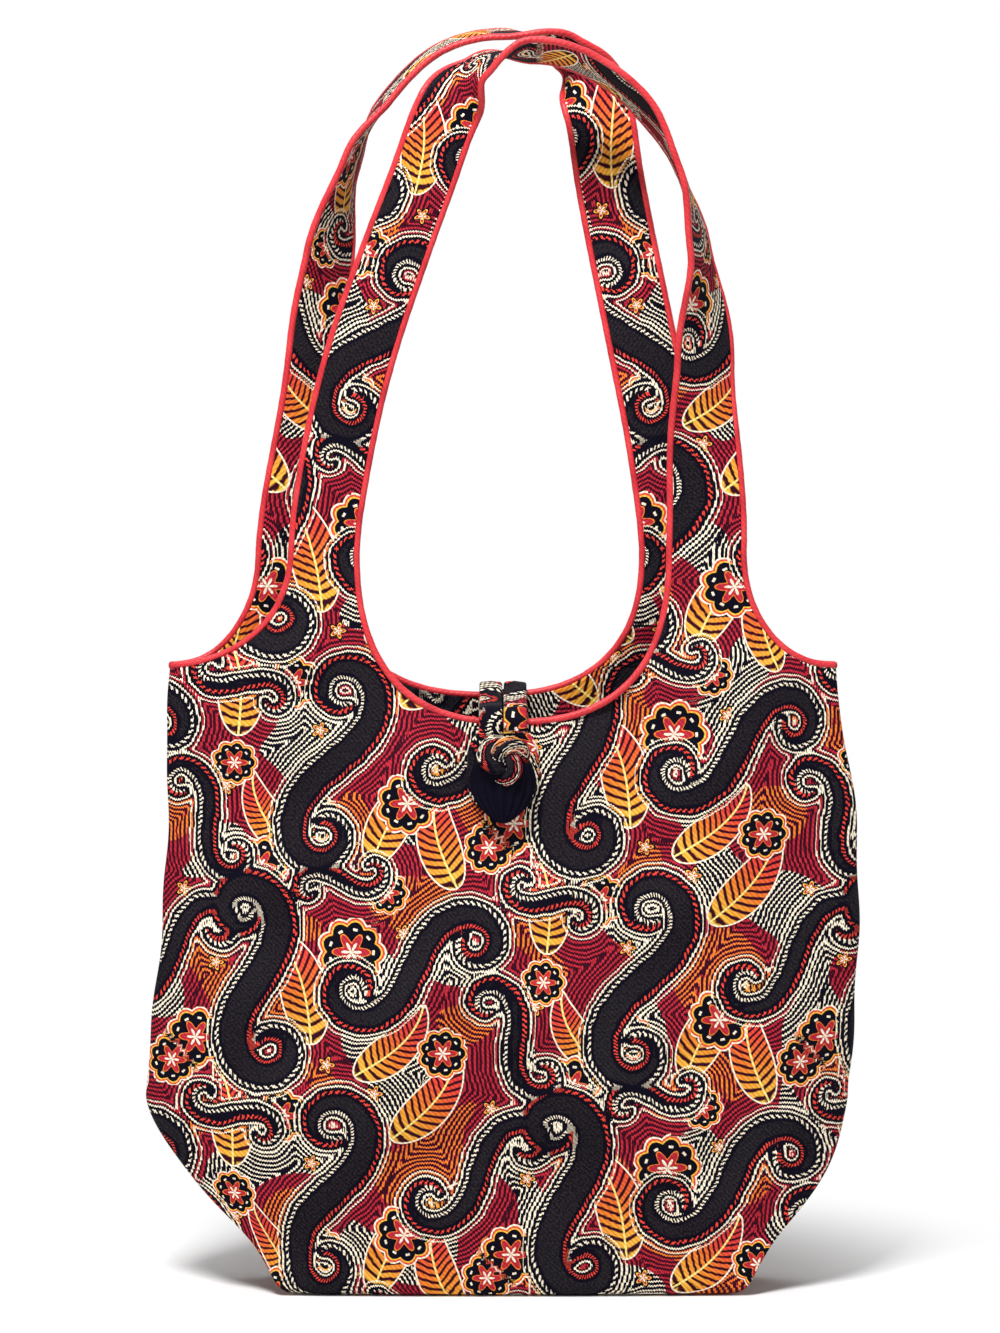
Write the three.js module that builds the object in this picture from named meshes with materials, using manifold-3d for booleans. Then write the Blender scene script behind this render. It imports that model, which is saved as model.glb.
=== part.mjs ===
// A lined brocade shoulder tote: a boxed body, two straps cut in one with the panels,
// corded piping round every open edge, and a knot button held by a fabric loop.
// Millimetres, +Z up. The origin is the middle of the base on the surface that the bag stands on,
// and -Y is the front.
import * as THREE from "three";
import { mergeVertices } from "three/addons/utils/BufferGeometryUtils.js";
import Module from "manifold-3d";

const wasm = await Module();
wasm.setup();

// Body
const BODY_HALF_WIDTH = 178; // widest, just above the boxed corners
const SIDE_TOP_HALF_WIDTH = 168; // at the top of the side seams
const CORNER_HEIGHT = 98; // where the boxed corners start to draw in
const BASE_HALF_WIDTH = 116;
const BASE_HALF_DEPTH = 30;
const BODY_HALF_DEPTH = 38; // fullest part of the body
const FULLEST_HEIGHT = 120;
const MOUTH_HALF_DEPTH = 17; // at the front neckline
const CORNER_TUCK = 14; // how far the boxed corner folds in between the two panels
const SIDE_HALF_DEPTH = 4.4; // half of the thickness at the side seam
const BASE_ROUNDING = 7; // radius of the bottom edge

// Neckline, armholes and the feet of the straps
const FRONT_SCOOP = 88; // depth of the neckline below the fold line
const BACK_SCOOP = 76;
const ARMHOLE_DEPTH = 60; // from the fold line down to the top of the side seams
const STRAP_ROOT_HEIGHT = 375; // the fold line where a strap flops over
const STRAP_ROOT_CENTRE = 95; // from the middle of the bag to the middle of a strap
const STRAP_WIDTH = 30;
const FLAT_FOOT = 8; // flat cloth below the fold line
const ROOT_HALF_DEPTH = 10; // outer face of a strap's foot from the middle plane

// Straps
const STRAP_RISE = 255; // from the fold line to the top of the arch
const STRAP_LEAN = 16; // how far the top of a strap stands out from its foot
const TOP_TILT = -12; // degrees that the top of the arch leans, neckline edge up

// Cloth and piping
const CLOTH = 1.5; // brocade with its interlining
const LINING = 1.0;
const CLEARANCE = 0.3; // between pieces that touch
const PIPING_RADIUS = 1.8;
const PIPING_GAP = 0.7; // between the piping and the edge that it finishes
const FOLD_ROOM = 3; // piping kept back from the strap's fold line

// Knot button and its loop
const KNOT_RADIUS = 10.5;
const KNOT_DROP = 16; // from the front neckline down to the knot's middle
const KNOT_BAND_RADIUS = 3.4;
const KNOT_CORE_RADIUS = 8.6;
const KNOT_BACK = 9.1; // from the knot's middle to where it meets the shank
const SHANK_RADIUS = 3.6;
const SHANK_LENGTH = 6;
const LOOP_THICKNESS = 2.2;
const LEG_WIDTH = 10.5; // one leg where it crosses the mouth
const RING_WIDTH = 6.2; // the legs where they pass round the knot
const LEG_SLIT = 1.5; // half of the gap between the two legs
const EYE_CLEARANCE = 1.2; // between the knot and the loop's eye
const EYE_SLACK = 18; // straight run of the eye
const ANCHOR_LENGTH = 28; // the loop's sewn end on the back panel

// Facets
const PANEL_COLUMNS = 6; // in one half of a panel
const STRAP_STEPS = 40;
const PIPING_SIDES = 6;

const LINING_INSET = CLOTH + CLEARANCE;
const STACK = LINING_INSET + LINING; // brocade and lining together
const SEAM_GAP = CLEARANCE / 2;
const NECK_HALF_WIDTH = STRAP_ROOT_CENTRE - STRAP_WIDTH / 2;
const ARMHOLE_X = STRAP_ROOT_CENTRE + STRAP_WIDTH / 2;
const FOLD_Z = STRAP_ROOT_HEIGHT;
const SIDE_HEIGHT = FOLD_Z - ARMHOLE_DEPTH;
const FRONT_NECK_HEIGHT = FOLD_Z - FRONT_SCOOP;
const BACK_NECK_HEIGHT = FOLD_Z - BACK_SCOOP;
const KNOT_HEIGHT = FRONT_NECK_HEIGHT - KNOT_DROP;

const COLOURS = { brocade: 0x3a1c22, lining: 0x2a1820, piping: 0xd93a3f, knot: 0x2b1c20 };
const materialOf = (colour, roughness) =>
  new THREE.MeshStandardMaterial({ color: colour, roughness, metalness: 0 });
const brocade = materialOf(COLOURS.brocade, 0.7);
const liningCloth = materialOf(COLOURS.lining, 0.75);
const pipingSatin = materialOf(COLOURS.piping, 0.5);
const knotCloth = materialOf(COLOURS.knot, 0.7);

const mix = (a, b, t) => a + (b - a) * t;
const ease = (low, high, value) => THREE.MathUtils.smoothstep(value, low, high);

// Closed shells from grids of points

// Each patch is a grid of { outer, inner } points. Patches that share points are sewn there, and
// every open edge gets a rim between the two faces.
function shell(patches) {
  const positions = [];
  const triangles = [];
  const index = new Map();
  const edges = new Map();
  const vertexOf = (cell) => {
    const key = cell.outer.toArray().map((x) => Math.round(x * 500)).join(",");
    if (!index.has(key)) {
      index.set(key, positions.length / 3);
      positions.push(...cell.outer.toArray(), ...cell.inner.toArray());
    }
    return index.get(key);
  };
  const face = (a, b, c) => {
    if (a === b || b === c || c === a) return;
    triangles.push(a, b, c, a + 1, c + 1, b + 1);
    for (const [from, to] of [[a, b], [b, c], [c, a]]) {
      if (edges.has(to + "," + from)) edges.delete(to + "," + from);
      else edges.set(from + "," + to, [from, to]);
    }
  };
  for (const rows of patches) {
    for (let r = 0; r + 1 < rows.length; r++) {
      for (let c = 0; c + 1 < rows[r].length; c++) {
        const [a, b] = [vertexOf(rows[r][c]), vertexOf(rows[r][c + 1])];
        const [d, e] = [vertexOf(rows[r + 1][c]), vertexOf(rows[r + 1][c + 1])];
        face(a, b, e);
        face(a, e, d);
      }
    }
  }
  for (const [from, to] of edges.values()) triangles.push(from, from + 1, to + 1, from, to + 1, to);
  const geometry = new THREE.BufferGeometry();
  geometry.setAttribute("position", new THREE.Float32BufferAttribute(positions, 3));
  geometry.setIndex(triangles);
  geometry.computeVertexNormals();
  return geometry;
}

function tube(points, radius, steps) {
  const section = new THREE.Shape();
  for (let i = 0; i < PIPING_SIDES; i++) {
    const angle = (i * 2 * Math.PI) / PIPING_SIDES;
    const corner = [radius * Math.cos(angle), radius * Math.sin(angle)];
    if (i) section.lineTo(...corner);
    else section.moveTo(...corner);
  }
  const extrudePath = new THREE.CatmullRomCurve3(points);
  return new THREE.ExtrudeGeometry(section, { steps, extrudePath, bevelEnabled: false });
}

function named(name, geometry, material) {
  const mesh = new THREE.Mesh(geometry, material);
  mesh.name = name;
  return mesh;
}

// The body's form

// Half-width of the body at a height: the boxed corners draw in below, and the sides lean in above.
function halfWidth(z) {
  if (z >= CORNER_HEIGHT) {
    const share = Math.min((z - CORNER_HEIGHT) / (SIDE_HEIGHT - CORNER_HEIGHT), 1);
    return mix(BODY_HALF_WIDTH, SIDE_TOP_HALF_WIDTH, share * share);
  }
  const rise = 1 - (1 - Math.max(z, 0) / CORNER_HEIGHT) ** 1.35;
  return mix(BASE_HALF_WIDTH, BODY_HALF_WIDTH, rise);
}

function halfDepth(z) {
  if (z <= FULLEST_HEIGHT) return mix(BASE_HALF_DEPTH, BODY_HALF_DEPTH, ease(0, FULLEST_HEIGHT, z));
  const upper = mix(BODY_HALF_DEPTH, MOUTH_HALF_DEPTH, ease(FULLEST_HEIGHT, FRONT_NECK_HEIGHT * 1.12, z));
  return mix(upper, ROOT_HALF_DEPTH, ease(FRONT_NECK_HEIGHT, FOLD_Z, z));
}

// Half of the depth where the front face turns into the side: deep at the boxed corner only.
function sideDepth(z) {
  return mix(BASE_HALF_DEPTH * 0.9, SIDE_HALF_DEPTH, ease(0, CORNER_HEIGHT * 1.15, z));
}

function cornerTuck(z) {
  return CORNER_TUCK * (1 - ease(0, CORNER_HEIGHT * 1.1, z));
}

// Distance of the front face from the middle plane. The strap feet are flat across.
function frontDepth(x, z) {
  const across = Math.min(Math.abs(x) / halfWidth(z), 1);
  const crown = (1 - across ** 2.4) ** 0.7;
  const rounded = mix(sideDepth(z), halfDepth(z), crown);
  return mix(rounded, ROOT_HALF_DEPTH, ease(SIDE_HEIGHT, FOLD_Z - FLAT_FOOT, z));
}

// How much the bottom edge's rounding takes off at a height.
function edgeRounding(z) {
  if (z >= BASE_ROUNDING) return 0;
  return BASE_ROUNDING - Math.sqrt(BASE_ROUNDING ** 2 - (BASE_ROUNDING - z) ** 2);
}

function frontPoint(x, z, inset) {
  const rounding = edgeRounding(z);
  const half = halfWidth(z);
  const turned = (x * (half - rounding - inset)) / half;
  return new THREE.Vector3(z > SIDE_HEIGHT ? x : turned, rounding + inset - frontDepth(x, z), Math.max(z, inset));
}

// The side runs back from the front face to the seam, folded in at the boxed corner.
function sidePoint(side, share, z, inset) {
  const rounding = edgeRounding(z);
  const half = halfWidth(z) - rounding - inset;
  const tuck = Math.min(cornerTuck(z), half / 2) * Math.sin((share * Math.PI) / 2);
  const depth = Math.max(sideDepth(z) - rounding - inset, SEAM_GAP);
  return new THREE.Vector3(side * (half - tuck), -mix(depth, SEAM_GAP, share), Math.max(z, inset));
}

// Neckline and armholes: a rounded U, and a quarter ellipse on each side.
function neckX(z, neckHeight) {
  const drop = Math.max((FOLD_Z - z) / (FOLD_Z - neckHeight), 0);
  return NECK_HALF_WIDTH * Math.max(1 - drop ** 2.5, 0) ** 0.4;
}

function armholeX(z) {
  const drop = Math.min((FOLD_Z - z) / (FOLD_Z - SIDE_HEIGHT), 1);
  return SIDE_TOP_HALF_WIDTH - (SIDE_TOP_HALF_WIDTH - ARMHOLE_X) * Math.sqrt(1 - drop ** 2);
}

// Heights of the rows of facets, closer where the outline turns.
function bodyRows(neckHeight) {
  const rows = [0, BASE_ROUNDING * 0.3, BASE_ROUNDING];
  for (const share of [0.35, 0.7, 1.05, 1.45]) rows.push(CORNER_HEIGHT * share);
  for (const share of [0.35, 0.7, 1]) rows.push(mix(CORNER_HEIGHT * 1.45, neckHeight, share));
  return rows;
}

function neckRows(neckHeight) {
  return [0, 0.03, 0.1, 0.25, 0.55].map((share) => mix(neckHeight, SIDE_HEIGHT, share));
}

function armholeRows() {
  return [0, 0.008, 0.03, 0.08, 0.18, 0.33, 0.52, 0.76].map((share) => mix(SIDE_HEIGHT, FOLD_Z, share));
}

function prongRows(neckHeight) {
  return [...neckRows(neckHeight), ...armholeRows(), FOLD_Z - SEAM_GAP];
}

// One panel of the body, from the seam under the base up to the feet of its strap. The first inset is
// the outer face's and the second the inner face's, both from the outside of the bag.
function panel(neckHeight, outerInset, innerInset) {
  const cell = (point) => ({ outer: point(outerInset), inner: point(innerInset) });
  const spread = (k) => Math.sin((k * Math.PI) / 2 / PANEL_COLUMNS);
  const sideShares = [0.5, 1];
  const row = (z) => {
    const left = sideShares.map((share) => cell((inset) => sidePoint(-1, share, z, inset))).reverse();
    const right = sideShares.map((share) => cell((inset) => sidePoint(1, share, z, inset)));
    const front = [];
    for (let k = -PANEL_COLUMNS; k <= PANEL_COLUMNS; k++) {
      front.push(cell((inset) => frontPoint(spread(k) * halfWidth(z), z, inset)));
    }
    return [...left, ...front, ...right];
  };
  // Under the base every column runs in to the seam, and the folded corner closes at its own end.
  const lowest = row(0);
  const last = lowest.length - 1;
  const seamX = (x, i, layer) => {
    const end = lowest[last][layer].x;
    const onSide = i < sideShares.length || i > last - sideShares.length;
    return onSide ? Math.sign(x) * end : (x * end) / lowest[last - sideShares.length][layer].x;
  };
  const drawn = (cells, share, layer) =>
    cells.map((each, i) => {
      const point = each[layer];
      return point.clone().setX(mix(point.x, seamX(point.x, i, layer), share)).setY(mix(point.y, -SEAM_GAP, share));
    });
  const underside = [1, 0.5].map((share) => {
    const inner = drawn(lowest, share, "inner");
    return drawn(lowest, share, "outer").map((outer, i) => ({ outer, inner: inner[i] }));
  });
  const body = [...underside, ...bodyRows(neckHeight).map(row)];
  const prong = (side) =>
    prongRows(neckHeight).map((z) => {
      const low = neckX(z, neckHeight);
      const high = z > SIDE_HEIGHT ? armholeX(z) : halfWidth(z);
      const cells = [];
      for (let k = 0; k <= PANEL_COLUMNS; k++) {
        cells.push(cell((inset) => frontPoint(side * mix(low, high, spread(k)), z, inset)));
      }
      if (z <= SIDE_HEIGHT) {
        cells.push(...sideShares.map((share) => cell((inset) => sidePoint(side, share, z, inset))));
      }
      return side < 0 ? cells.reverse() : cells;
    });
  const split = (rows) => {
    const low = rows.filter((cells) => cells.length > PANEL_COLUMNS + 1);
    const high = rows.filter((cells) => cells.length === PANEL_COLUMNS + 1);
    return { low, high };
  };
  const patches = [body];
  for (const side of [-1, 1]) {
    const { low, high } = split(prong(side));
    const top = low[low.length - 1];
    const shared = side < 0 ? top.slice(sideShares.length) : top.slice(0, PANEL_COLUMNS + 1);
    patches.push(low, [shared, ...high]);
  }
  return shell(patches);
}

// Points down the middle of the piping that sits on an edge of the body, beside the rim.
function edgePiping(edge, heights, towards) {
  const seat = PIPING_RADIUS + PIPING_GAP;
  const flat = heights.map((z) => new THREE.Vector2(edge(z), z));
  return flat.map((point, i) => {
    const before = flat[Math.max(i - 1, 0)];
    const after = flat[Math.min(i + 1, flat.length - 1)];
    const along = after.clone().sub(before).normalize();
    const out = new THREE.Vector2(along.y, -along.x).multiplyScalar(towards);
    const place = point.clone().addScaledVector(out, seat);
    const middle = STACK / 2 - frontDepth(point.x, Math.max(point.y, 1));
    return new THREE.Vector3(place.x, middle, place.y);
  });
}

function neckPiping(neckHeight) {
  const heights = [...neckRows(neckHeight), ...armholeRows().slice(3), FOLD_Z - FOLD_ROOM];
  const right = edgePiping((z) => neckX(z, neckHeight), heights, -1);
  right[0].set(0, right[0].y, neckHeight + PIPING_RADIUS + PIPING_GAP);
  const left = right.slice(1).map((p) => new THREE.Vector3(-p.x, p.y, p.z)).reverse();
  return tube([...left, ...right], PIPING_RADIUS, 36);
}

function armholePiping(side) {
  const heights = [...armholeRows(), FOLD_Z - FOLD_ROOM];
  const points = edgePiping(armholeX, heights, 1);
  points[0].setX(SIDE_TOP_HALF_WIDTH).setZ(SIDE_HEIGHT + PIPING_RADIUS + PIPING_GAP);
  return tube(points.map((p) => new THREE.Vector3(side * p.x, p.y, p.z)), PIPING_RADIUS, 18);
}

// A strap: a ribbon that is flat to the front on its left arm, turns on its edge over the top of the
// arch, and turns back to the front down its right arm.

// Stations of the middle of each strap, seen from its own side, as shares of the spread, the rise and
// the lean, and the turn in degrees: 90 lies flat to that side, and 0 stands on edge.
const FRONT_STRAP_ROUTE = [
  [-1, 0, 0, 90], [-0.975, 0.078, 0, 90], [-0.885, 0.224, 0.08, 90], [-0.735, 0.431, 0.3, 90],
  [-0.495, 0.71, 0.62, 90], [-0.345, 0.875, 0.8, 88], [-0.165, 0.968, 0.93, 26],
  [0.125, 1, 1, TOP_TILT], [0.44, 0.973, 1, TOP_TILT], [0.735, 0.89, 0.93, TOP_TILT],
  [0.935, 0.753, 0.77, 2], [1.03, 0.588, 0.55, 20], [1.04, 0.372, 0.2, 58],
  [1.015, 0.137, 0, 88], [1, 0, 0, 90],
];

// The back strap stands flatter over the top, and its turned arm leans in further.
const BACK_STRAP_ROUTE = [
  [-1, 0, 0, 90], [-0.98, 0.078, 0, 90], [-0.915, 0.224, 0.08, 90], [-0.805, 0.431, 0.3, 90],
  [-0.665, 0.71, 0.62, 90], [-0.59, 0.865, 0.8, 88], [-0.44, 0.96, 0.93, 26],
  [-0.09, 1, 1, TOP_TILT], [0.27, 0.97, 1, TOP_TILT], [0.565, 0.872, 0.93, TOP_TILT],
  [0.75, 0.755, 0.77, 10], [0.862, 0.575, 0.55, 42], [0.905, 0.39, 0.2, 66],
  [0.97, 0.137, 0, 88], [1, 0, 0, 90],
];

function strapTwist(route, station) {
  const from = Math.min(Math.floor(station), route.length - 2);
  const [start, end] = [route[from][3], route[from + 1][3]];
  return THREE.MathUtils.degToRad(mix(start, end, ease(0, 1, station - from)));
}

// Frames along a strap: a point, the direction across it to its neckline edge, and its outer normal.
const strapMiddle = LINING_INSET - CLEARANCE / 2 - ROOT_HALF_DEPTH;

function strapCurve(route) {
  return new THREE.CatmullRomCurve3(
    route.map(
      ([across, rise, lean]) =>
        new THREE.Vector3(
          across * STRAP_ROOT_CENTRE,
          strapMiddle - lean * STRAP_LEAN,
          FOLD_Z + SEAM_GAP + rise * STRAP_RISE,
        ),
    ),
  );
}

function strapFrame(route, curve, share) {
  const station = share * (route.length - 1);
  const along = curve.getTangent(share);
  if (share === 0) along.set(0, 0, 1);
  if (share === 1) along.set(0, 0, -1);
  const inward = new THREE.Vector3(along.z, 0, -along.x).normalize();
  const twist = strapTwist(route, station);
  const across = inward.multiplyScalar(Math.sin(twist)).add(new THREE.Vector3(0, -Math.cos(twist), 0));
  across.addScaledVector(along, -across.dot(along)).normalize();
  const normal = across.clone().cross(along).normalize();
  return { centre: curve.getPoint(share), across, normal };
}

function strapFrames(route) {
  const curve = strapCurve(route);
  return Array.from({ length: STRAP_STEPS + 1 }, (_, i) => strapFrame(route, curve, i / STRAP_STEPS));
}

function strapPoint({ centre, across, normal }, width, height) {
  return centre.clone().addScaledVector(across, width).addScaledVector(normal, height);
}

function strapLayer(route, top, bottom) {
  const columns = [-0.5, 0, 0.5];
  const rows = strapFrames(route).map((frame) =>
    columns.map((share) => ({
      outer: strapPoint(frame, share * STRAP_WIDTH, top),
      inner: strapPoint(frame, share * STRAP_WIDTH, bottom),
    })),
  );
  return shell([rows]);
}

function strapPiping(route, edge) {
  const whole = strapCurve(route).getLength();
  const kept = strapFrames(route).filter((_, i) => {
    const run = (i / STRAP_STEPS) * whole;
    return run >= FOLD_ROOM && whole - run >= FOLD_ROOM;
  });
  const middle = CLEARANCE / 2 + CLOTH - STACK / 2;
  const seat = STRAP_WIDTH / 2 + PIPING_RADIUS + PIPING_GAP;
  return tube(kept.map((frame) => strapPoint(frame, edge * seat, middle)), PIPING_RADIUS, STRAP_STEPS + 8);
}

// One side of the bag. The back is the same side turned half round, with its own neckline.
function half(name, neckHeight, route, sides) {
  const group = new THREE.Group();
  const top = CLEARANCE / 2;
  group.add(
    named(`${name}_panel`, panel(neckHeight, 0, CLOTH), brocade),
    named(`${name}_lining`, panel(neckHeight, LINING_INSET, STACK), liningCloth),
    named(`${name}_strap`, strapLayer(route, top + CLOTH, top), brocade),
    named(`${name}_strap_lining`, strapLayer(route, -top, -top - LINING), liningCloth),
    named(`${name}_neck_piping`, neckPiping(neckHeight), pipingSatin),
    named(`${name}_strap_neck_piping`, strapPiping(route, 1), pipingSatin),
    named(`${name}_strap_side_piping`, strapPiping(route, -1), pipingSatin),
  );
  sides.forEach((side, i) => {
    group.add(named(`${name}_armhole_piping_${side}`, armholePiping(i ? 1 : -1), pipingSatin));
  });
  return group;
}

// The knot button

function solidOf(geometry) {
  const bare = geometry.clone();
  for (const attribute of ["normal", "uv"]) bare.deleteAttribute(attribute);
  const merged = mergeVertices(bare, 1e-4);
  return new wasm.Manifold(
    new wasm.Mesh({
      numProp: 3,
      vertProperties: merged.attributes.position.array,
      triVerts: new Uint32Array(merged.index.array),
    }),
  );
}

function geometryOf(solid) {
  const mesh = solid.getMesh();
  const geometry = new THREE.BufferGeometry();
  geometry.setAttribute("position", new THREE.BufferAttribute(mesh.vertProperties, 3));
  geometry.setIndex(new THREE.BufferAttribute(mesh.triVerts, 1));
  geometry.computeVertexNormals();
  return geometry;
}

// Three bands of cloth pulled tight round each other, over a core.
function knot() {
  const band = KNOT_RADIUS - KNOT_BAND_RADIUS;
  let solid = solidOf(new THREE.SphereGeometry(KNOT_CORE_RADIUS, 10, 8));
  for (const [tilt, turn] of [[90, 0], [42, 35], [42, 155]]) {
    const ring = new THREE.TorusGeometry(band, KNOT_BAND_RADIUS, 6, 16);
    ring.rotateX(THREE.MathUtils.degToRad(tilt));
    ring.rotateZ(THREE.MathUtils.degToRad(turn));
    solid = solid.add(solidOf(ring));
  }
  return geometryOf(solid);
}

const knotFace = -frontDepth(0, KNOT_HEIGHT - 1.6 * SHANK_RADIUS);
const knotSeat = knotFace - CLEARANCE - SHANK_LENGTH;

function shank() {
  const reach = SHANK_LENGTH - CLEARANCE;
  const geometry = new THREE.CylinderGeometry(SHANK_RADIUS, SHANK_RADIUS * 1.15, reach, 12);
  return geometry;
}

// The loop: two legs over the mouth, parted round the knot and joined below it.

const hingeY = frontDepth(0, BACK_NECK_HEIGHT) + CLEARANCE + LOOP_THICKNESS + CLEARANCE;
const hingeZ = BACK_NECK_HEIGHT + 2 * PIPING_RADIUS + PIPING_GAP + CLEARANCE;
const EYE_RADIUS = KNOT_RADIUS + EYE_CLEARANCE;
const RING_RADIUS = EYE_RADIUS + RING_WIDTH;

// Side view of the loop's under face: back over the piping, across the mouth, down the front.
const frontClear = (z) => -frontDepth(0, z) - 2 * CLEARANCE;
const frontPipingTop = FRONT_NECK_HEIGHT + PIPING_GAP + 2 * PIPING_RADIUS;
const neckFace = frontClear(FRONT_NECK_HEIGHT);
const eyeMiddle = KNOT_HEIGHT - EYE_SLACK;
const loopEnd = eyeMiddle - RING_RADIUS - RING_WIDTH;
const loopSide = new THREE.CatmullRomCurve3([
  new THREE.Vector3(0, hingeY, hingeZ),
  new THREE.Vector3(0, hingeY - LOOP_THICKNESS * 3, hingeZ),
  new THREE.Vector3(0, 0, mix(hingeZ, frontPipingTop, 0.5)),
  new THREE.Vector3(0, neckFace + LOOP_THICKNESS * 1.2, frontPipingTop + LOOP_THICKNESS * 0.85),
  new THREE.Vector3(0, neckFace - LOOP_THICKNESS * 0.8, frontPipingTop - LOOP_THICKNESS),
  new THREE.Vector3(0, frontClear(KNOT_HEIGHT) - CLEARANCE, KNOT_HEIGHT),
  new THREE.Vector3(0, frontClear(eyeMiddle), eyeMiddle),
  new THREE.Vector3(0, frontClear(loopEnd), loopEnd),
]);
loopSide.arcLengthDivisions = 400;

function loopPoint(x, run, height) {
  const share = Math.min(run / loopSide.getLength(), 1);
  const along = loopSide.getTangentAt(share);
  const out = new THREE.Vector3(0, along.z, -along.y);
  return loopSide.getPointAt(share).setX(x).addScaledVector(out, height);
}

// How far along the loop the knot lies.
function runAt(height) {
  let run = 0;
  while (loopSide.getPointAt(run / loopSide.getLength()).z > height) run += 0.25;
  return run;
}

function closureLoop() {
  const upper = runAt(KNOT_HEIGHT);
  const lower = upper + EYE_SLACK;
  const legOut = LEG_SLIT + LEG_WIDTH;
  const legEnd = upper - EYE_RADIUS;
  const outline = [];
  const legRuns = [0, 0.12, 0.25, 0.4, 0.55, 0.68, 0.78, 0.86, 0.93];
  for (const share of legRuns) outline.push([LEG_SLIT, legEnd * share, legOut, legEnd * share]);
  const around = (angle, radius, centre) => [radius * Math.sin(angle), centre - radius * Math.cos(angle)];
  const innerStart = Math.asin(LEG_SLIT / EYE_RADIUS);
  const outerStart = Math.asin(legOut / RING_RADIUS);
  for (const share of [0, 0.25, 0.5, 0.75, 1]) {
    const inner = around(mix(innerStart, Math.PI / 2, share), EYE_RADIUS, upper);
    const outer = around(mix(outerStart, Math.PI / 2, share), RING_RADIUS, upper);
    outline.push([...inner, ...outer]);
  }
  for (const share of [0, 0.2, 0.4, 0.6, 0.8, 1]) {
    const angle = mix(Math.PI / 2, Math.PI, share);
    outline.push([...around(angle, EYE_RADIUS, lower), ...around(angle, RING_RADIUS, lower)]);
  }
  const cell = (x, run) => ({
    outer: loopPoint(x, run, LOOP_THICKNESS),
    inner: loopPoint(x, run, 0),
  });
  const leg = (side) =>
    outline.map(([xi, ri, xo, ro]) => {
      const row = [0, 0.5, 1].map((share) => cell(side * mix(xi, xo, share), mix(ri, ro, share)));
      return side < 0 ? row : row.reverse();
    });
  return shell([leg(-1), leg(1)]);
}

// The loop's end, sewn flat to the outside of the back panel.
function loopAnchor() {
  const half = LEG_SLIT + LEG_WIDTH;
  const top = hingeZ - CLEARANCE;
  const rows = [0, 0.35, 0.7, 1].map((share) => {
    const z = mix(top, top - ANCHOR_LENGTH, share);
    const face = frontDepth(0, Math.min(z, BACK_NECK_HEIGHT)) + CLEARANCE;
    return [-1, 0, 1].map((side) => ({
      outer: new THREE.Vector3(side * half, face + LOOP_THICKNESS, z),
      inner: new THREE.Vector3(side * half, face, z),
    }));
  });
  return shell([rows]);
}

const tote = new THREE.Group();
const back = half("back", BACK_NECK_HEIGHT, BACK_STRAP_ROUTE, ["right", "left"]);
back.rotation.z = Math.PI;

const button = new THREE.Group();
button.position.set(0, knotSeat - KNOT_BACK, KNOT_HEIGHT);
button.add(named("knot_button", knot(), knotCloth));
const stem = named("knot_shank", shank(), knotCloth);
stem.position.y = KNOT_BACK + SHANK_LENGTH / 2;
button.add(stem);

tote.add(half("front", FRONT_NECK_HEIGHT, FRONT_STRAP_ROUTE, ["left", "right"]), back, button);
tote.add(named("closure_loop", closureLoop(), knotCloth), named("loop_anchor", loopAnchor(), knotCloth));

export default tote;
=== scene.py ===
"""A brocade shoulder tote with corded edges and a knot closure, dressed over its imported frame.

Shapes are worked out in millimetres in the part's own frame (+Z up, -Y the front) and put into the
meshes in metres.
"""

import math
from collections import namedtuple
from functools import partial

import bmesh
import bpy
import numpy as np
from mathutils import Matrix, Vector


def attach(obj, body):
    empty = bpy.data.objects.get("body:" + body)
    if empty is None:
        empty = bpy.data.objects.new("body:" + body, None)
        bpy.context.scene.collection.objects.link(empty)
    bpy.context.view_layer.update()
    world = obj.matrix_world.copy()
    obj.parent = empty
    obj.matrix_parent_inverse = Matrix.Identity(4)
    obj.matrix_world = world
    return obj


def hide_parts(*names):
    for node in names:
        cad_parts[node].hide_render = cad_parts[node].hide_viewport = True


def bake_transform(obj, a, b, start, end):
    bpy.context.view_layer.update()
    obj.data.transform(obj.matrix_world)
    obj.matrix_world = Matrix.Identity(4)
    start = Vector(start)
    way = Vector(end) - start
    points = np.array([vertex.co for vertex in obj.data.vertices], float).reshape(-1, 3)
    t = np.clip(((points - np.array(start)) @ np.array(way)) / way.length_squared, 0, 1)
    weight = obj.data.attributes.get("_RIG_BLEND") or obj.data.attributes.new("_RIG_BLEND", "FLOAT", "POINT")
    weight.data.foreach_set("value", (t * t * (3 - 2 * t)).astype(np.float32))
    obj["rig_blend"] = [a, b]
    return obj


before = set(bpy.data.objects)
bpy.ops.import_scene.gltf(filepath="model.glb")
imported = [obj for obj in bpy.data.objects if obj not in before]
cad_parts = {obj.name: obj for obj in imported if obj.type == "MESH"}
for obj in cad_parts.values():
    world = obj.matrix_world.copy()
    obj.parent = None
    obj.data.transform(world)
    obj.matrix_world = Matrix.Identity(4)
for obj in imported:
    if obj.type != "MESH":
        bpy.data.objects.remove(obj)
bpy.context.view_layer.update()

MM = 0.001

# Body, as in the solids
BODY_HALF_WIDTH = 178
SIDE_TOP_HALF_WIDTH = 168
CORNER_HEIGHT = 98
BASE_HALF_WIDTH = 116
BASE_HALF_DEPTH = 30
BODY_HALF_DEPTH = 38
FULLEST_HEIGHT = 120
MOUTH_HALF_DEPTH = 17
CORNER_TUCK = 14
CORNER_BOW = 1.35  # power of the boxed corner's outline: 1 would be straight
CROWN = (2.4, 0.7)  # powers of a panel's swell across its width
SIDE_HALF_DEPTH = 4.4
BASE_ROUNDING = 7
SEAM_GAP = 0.2

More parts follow.
